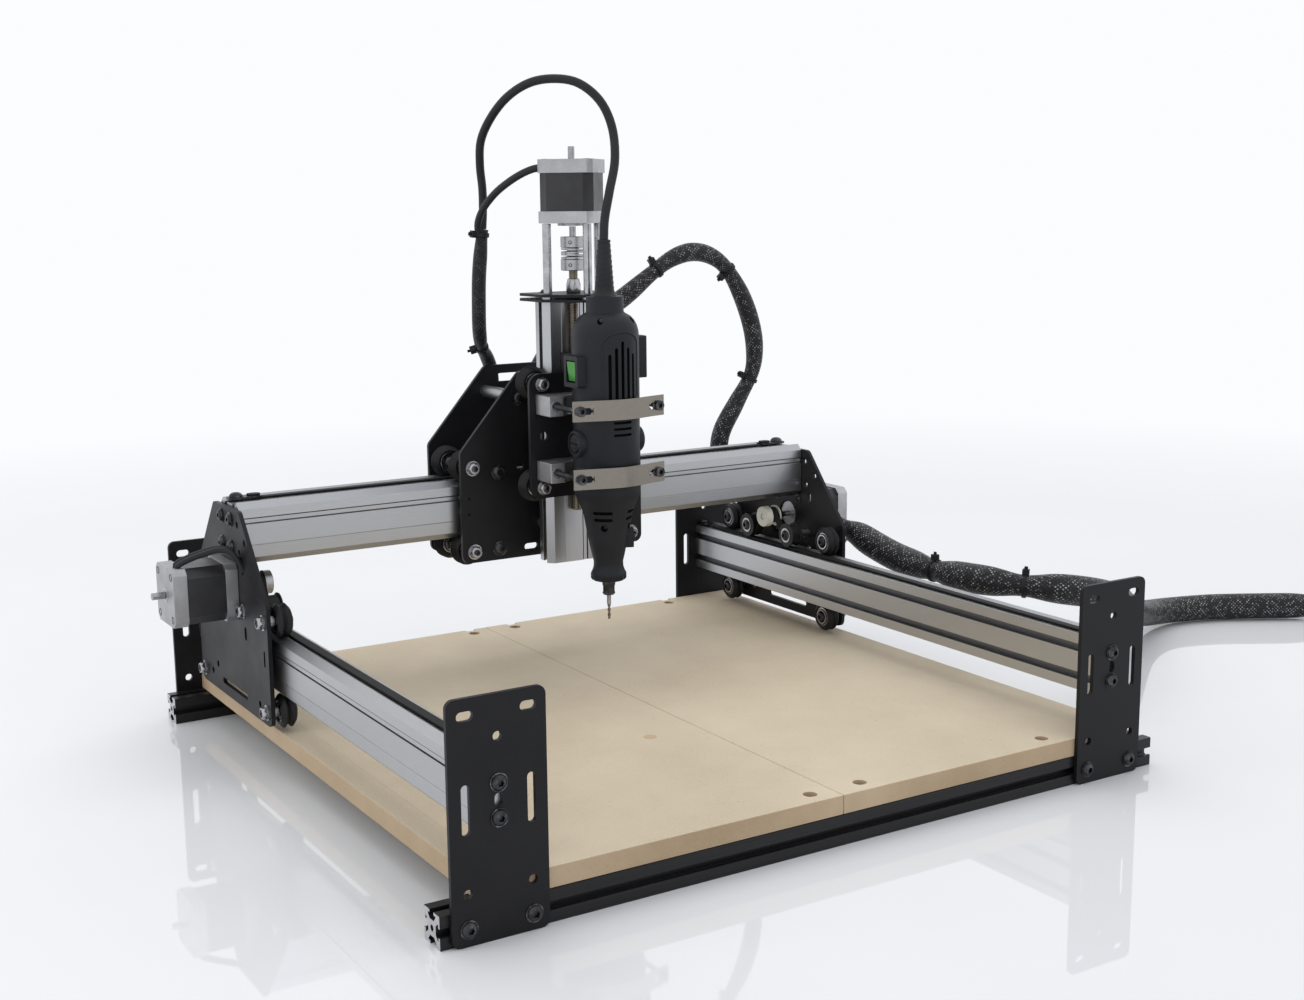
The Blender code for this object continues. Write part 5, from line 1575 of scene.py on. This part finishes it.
def carved(target, cutters):
    """The target piece's mesh with the cutters' volumes taken away."""
    objects = []
    for piece in (target, *cutters):
        bmesh.ops.recalc_face_normals(piece.bm, faces=piece.bm.faces)
        mesh = bpy.data.meshes.new("carving")
        piece.bm.to_mesh(mesh)
        for material in piece.materials:
            mesh.materials.append(material)
        objects.append(new_object("carving", mesh))
        piece.bm.free()
    body = objects[0]
    for cutter in objects[1:]:
        modifier = body.modifiers.new("cut", "BOOLEAN")
        modifier.operation = "DIFFERENCE"
        modifier.solver = "EXACT"
        modifier.material_mode = "TRANSFER"
        modifier.object = cutter
    evaluated = body.evaluated_get(bpy.context.evaluated_depsgraph_get())
    result = Piece()
    result.bm.from_mesh(evaluated.to_mesh())
    result.materials = [bpy.data.materials[m.name] for m in evaluated.data.materials]
    evaluated.to_mesh_clear()
    for obj in objects:
        bpy.data.objects.remove(obj)
    return result


def around_tool(angle_degrees, z, radius=0.0):
    """A frame on the tool's shell, facing outward at an angle from straight ahead."""
    angle = math.radians(angle_degrees)
    outward = Vector((math.sin(angle), -math.cos(angle), 0))
    across = Z_AXIS.cross(outward)
    spot = Vector((0, TOOL_Y, z)) + outward * radius
    return placed(spot, across, Z_AXIS, outward)


TOOL_PROFILE = [
    (0.01, 0.1187), (0.0115, 0.1189), (0.0125, 0.12), (0.0132, 0.1225), (0.0132, 0.1243),
    (0.0122, 0.1262), (0.0112, 0.129), (0.011, 0.133), (0.0122, 0.138), (0.014, 0.1465),
    (0.016, 0.157), (0.0181, 0.169), (0.02, 0.1745), (0.0222, 0.1795), (0.0238, 0.183),
    (0.0245, 0.187), (0.0245, 0.205), (0.0243, 0.2056), (0.0243, 0.2062), (0.0245, 0.2068),
    (0.0247, 0.25), (0.0247, 0.301), (0.0243, 0.305), (0.0232, 0.309), (0.0213, 0.3125),
    (0.0188, 0.3153), (0.0155, 0.3172), (0.014, 0.3182), (0.0137, 0.3195), (0.0137, 0.329),
    (0.0134, 0.3298), (0.012, 0.33),
]


def build_tool():
    shell = Piece()
    shell.turned(in_z(0, TOOL_Y), TOOL_PROFILE, TOOL_PLASTIC, 96)
    result = carved(shell, [vent_cutter(), screw_well_cutter()])
    result.made("tool_shell", "z_carriage", "tool_plastic", ("tool_body",), 0.0003, 32)
    build_tool_details()


def vent_cutter():
    """Five upright vents above the upper strap, three level ones below it, and the nose vents."""
    cutter = Piece()
    vents = []
    for k in range(-2, 3):
        shape = slot((0, 0.2755 - 0.0016 * abs(k)), 0.046 - 0.006 * abs(k), 0.0024, upright=True)
        vents.append((k * 11.5, 0.0205, shape, 0.01))
    for z in (0.2395, 0.235, 0.2305):
        vents.append((0, 0.02, slot((0, z), 0.015, 0.0019), 0.01))
    for angle in (-42, 42, 138, -138):
        for z, long in ((0.1722, 0.015), (0.1668, 0.014)):
            vents.append((angle, 0.013, slot((0, z), long, 0.0024), 0.012))
    # Painted shade: the cutters' near-black material passes to the cut walls of the vents.
    for angle, radius, shape, depth in vents:
        cutter.slab(around_tool(angle, 0.0, radius), shape, 0.0, depth, PAINTED_HOLLOW_SHADE)
    return cutter


def screw_well_cutter():
    """The round wells over the shell's screws, in its dome and its nose."""
    cutter = Piece()
    # Painted shade: the cutters' near-black material passes to the walls of the screw wells.
    for angle in SHELL_CORNERS:
        cutter.rod(around_tool(angle, DOME_SCREW_Z, 0.0165), 0.0023, 0.0, 0.01, PAINTED_HOLLOW_SHADE, 24)
        cutter.rod(around_tool(angle, NOSE_SCREW_Z, 0.011), 0.0026, 0.0, 0.01, PAINTED_HOLLOW_SHADE, 24)
    return cutter


def arch_bead(piece, half_degrees, low, high, width):
    """A raised bead that runs up one side of the vents, over them and down the other side."""
    steps = 12
    shares = [i / steps for i in range(steps + 1)]
    rise = [(-half_degrees, low + (high - low) * share) for share in shares]
    path = list(rise)
    for share in shares[1:-1]:
        turn = math.pi * share
        path.append((-half_degrees * math.cos(turn), high + 0.009 * math.sin(turn)))
    path += [(-angle, z) for angle, z in reversed(rise)]
    points = []
    for angle, z in path:
        radius = TOOL_RADIUS - 0.0003 - 26 * max(0.0, z - 0.301) ** 2
        points.append(around_tool(angle, z, radius).translation.copy())
    sweep(piece, points, steady(width), TOOL_PLASTIC, 12)


def build_tool_details():
    piece = Piece()
    arch_bead(piece, 36, 0.258, 0.296, 0.0009)
    rim = [(0.01, 0.0), (0.01, 0.0052), (0.0094, 0.006), (0.008, 0.0062), (0.0078, 0.005)]
    plug = [(0.0066, 0.005), (0.0066, 0.0056), (0.006, 0.0062)]
    for side in (-1, 1):
        cap = in_x(side, side * 0.0215, TOOL_Y, 0.2235)
        piece.turned(cap, rim, TOOL_PLASTIC, 40)
        piece.turned(cap, plug, BLACK_OXIDE, 36)
        # Painted shade: a near-black bar stands for the slot across the cap's plug.
        piece.slab(cap, centred(0.0052, 0.0007), 0.0055, 0.0064, PAINTED_HOLLOW_SHADE)
    rail = rounded(box_outline((TOOL_Y - 0.006, 0.269), (TOOL_Y + 0.006, 0.3)), 0.0012, 4)
    piece.slab(in_x(1, 0.022), rail, 0.0, 0.0098, TOOL_PLASTIC)
    for k in range(7):
        z = 0.2725 + 0.004 * k
        rib = box_outline((TOOL_Y - 0.0045, z), (TOOL_Y + 0.0045, z + 0.0016))
        piece.slab(in_x(1, 0.0315), rib, 0.0, 0.0005, TOOL_PLASTIC)
    switch_frame = rounded(box_outline((TOOL_Y - 0.01, 0.265), (TOOL_Y + 0.01, 0.288)), 0.0016, 4)
    recess = box_outline((TOOL_Y - 0.0065, 0.2685), (TOOL_Y + 0.0065, 0.2845))
    piece.slab(in_x(-1, -0.018), switch_frame, 0.0, 0.0115, TOOL_PLASTIC, [recess])
    # Painted shade: a near-black block at the bottom of the switch's recess.
    piece.slab(in_x(-1, -0.02), recess, 0.0, 0.003, PAINTED_HOLLOW_SHADE)
    lock = around_tool(68, 0.15, 0.012)
    lug = rounded(box_outline((-0.0045, -0.007), (0.0045, 0.008)), 0.002, 5)
    piece.slab(lock, lug, 0.0, 0.0068, TOOL_PLASTIC)
    piece.turned(lock, [(0.003, 0.0066), (0.003, 0.0076), (0.0024, 0.0082)], NYLON, 28)
    for k in range(18):
        x, y, z = around_tool(20 * k, 0.119, 0.0126).translation
        piece.turned(in_z(x, y, z), [(0.0007, 0.0008), (0.0008, 0.005)], TOOL_PLASTIC, 10)
    screw = [(0.002, 0.0), (0.002, 0.0012), (0.0008, 0.0016, 6), (0.0007, 0.0006, 6)]
    for angle in SHELL_CORNERS:
        for z, radius in ((DOME_SCREW_Z, 0.0172), (NOSE_SCREW_Z, 0.0122)):
            piece.turned(around_tool(angle, z, radius), screw, BLACK_OXIDE, 20)
    piece.made("tool_details", "z_carriage", "tool_plastic", bevel=0.0002)
    relief = Piece()
    boot = [(0.0105, 0.3298), (0.0088, 0.3312), (0.0074, 0.333)]
    for k in range(9):
        z = 0.3345 + 0.0038 * k
        radius = 0.007 - 0.00026 * k
        boot += [(radius, z), (radius, z + 0.0024)]
        boot += [(radius - 0.0004, z + 0.0027), (radius - 0.0004, z + 0.0035)]
    boot += [(0.005, 0.369), (0.0048, 0.3702), (0.0034, 0.3705)]
    relief.turned(in_z(0, TOOL_Y), boot, CORD_RUBBER, 40)
    relief.made("strain_relief", "z_carriage", "cord_rubber", sharp_degrees=50)


def build_switch():
    """The rocker: two flats that meet over its hinge, so that one end stands out."""
    top = 0.0072
    half_width = 0.0058
    outline = [(0.0008, -top), (0.0008, 0.0), (-0.0009, top), (-0.0026, top), (-0.003, top - 0.0006)]
    outline += [(-0.0024, 0.0), (-0.0014, -top + 0.0004), (-0.001, -top)]
    corner = Vector(SWITCH_HINGE) - half_width * Y_AXIS
    piece = Piece()
    piece.slab(placed(corner, X_AXIS, Z_AXIS, Y_AXIS), outline, 0.0, 2 * half_width, GREEN)
    piece.made("rocker", "power_switch", "switch_green", ("power_switch",), 0.0003)


def build_spindle():
    piece = Piece()
    place = in_z(0, TOOL_Y)
    nut = [(0.0028, 0.107), (0.004, 0.1074), (0.0049, 0.1086), (0.005, 0.1095, 6)]
    nut += [(0.005, 0.114, 6), (0.0049, 0.115), (0.0049, 0.1184)]
    piece.turned(place, nut, BLACK_OXIDE, 36)
    piece.rod(place, 0.0016, 0.1, 0.1075, STEEL, 24)
    twist = []
    steps = 24
    for k in range(steps + 1):
        z = 0.0885 + 0.012 * k / steps
        lobe = []
        for i in range(24):
            angle = 2 * math.pi * i / 24
            radius = 0.00095 + 0.0003 * math.cos(2 * (angle - k * 0.42))
            lobe.append((radius * math.cos(angle), radius * math.sin(angle), z))
        twist.append(piece.ring(place, lobe))
    piece.skin(twist, BRASS)
    piece.made("collet_and_bit", "spindle", "collet_steel", ("spindle",))


# ---------------------------------------------------------------- the whole


def main():
    build_camera()
    build_cords()
    build_studio()
    build_base()
    build_wheels()
    build_gantry()
    build_x_carriage()
    build_z_carriage()


main()
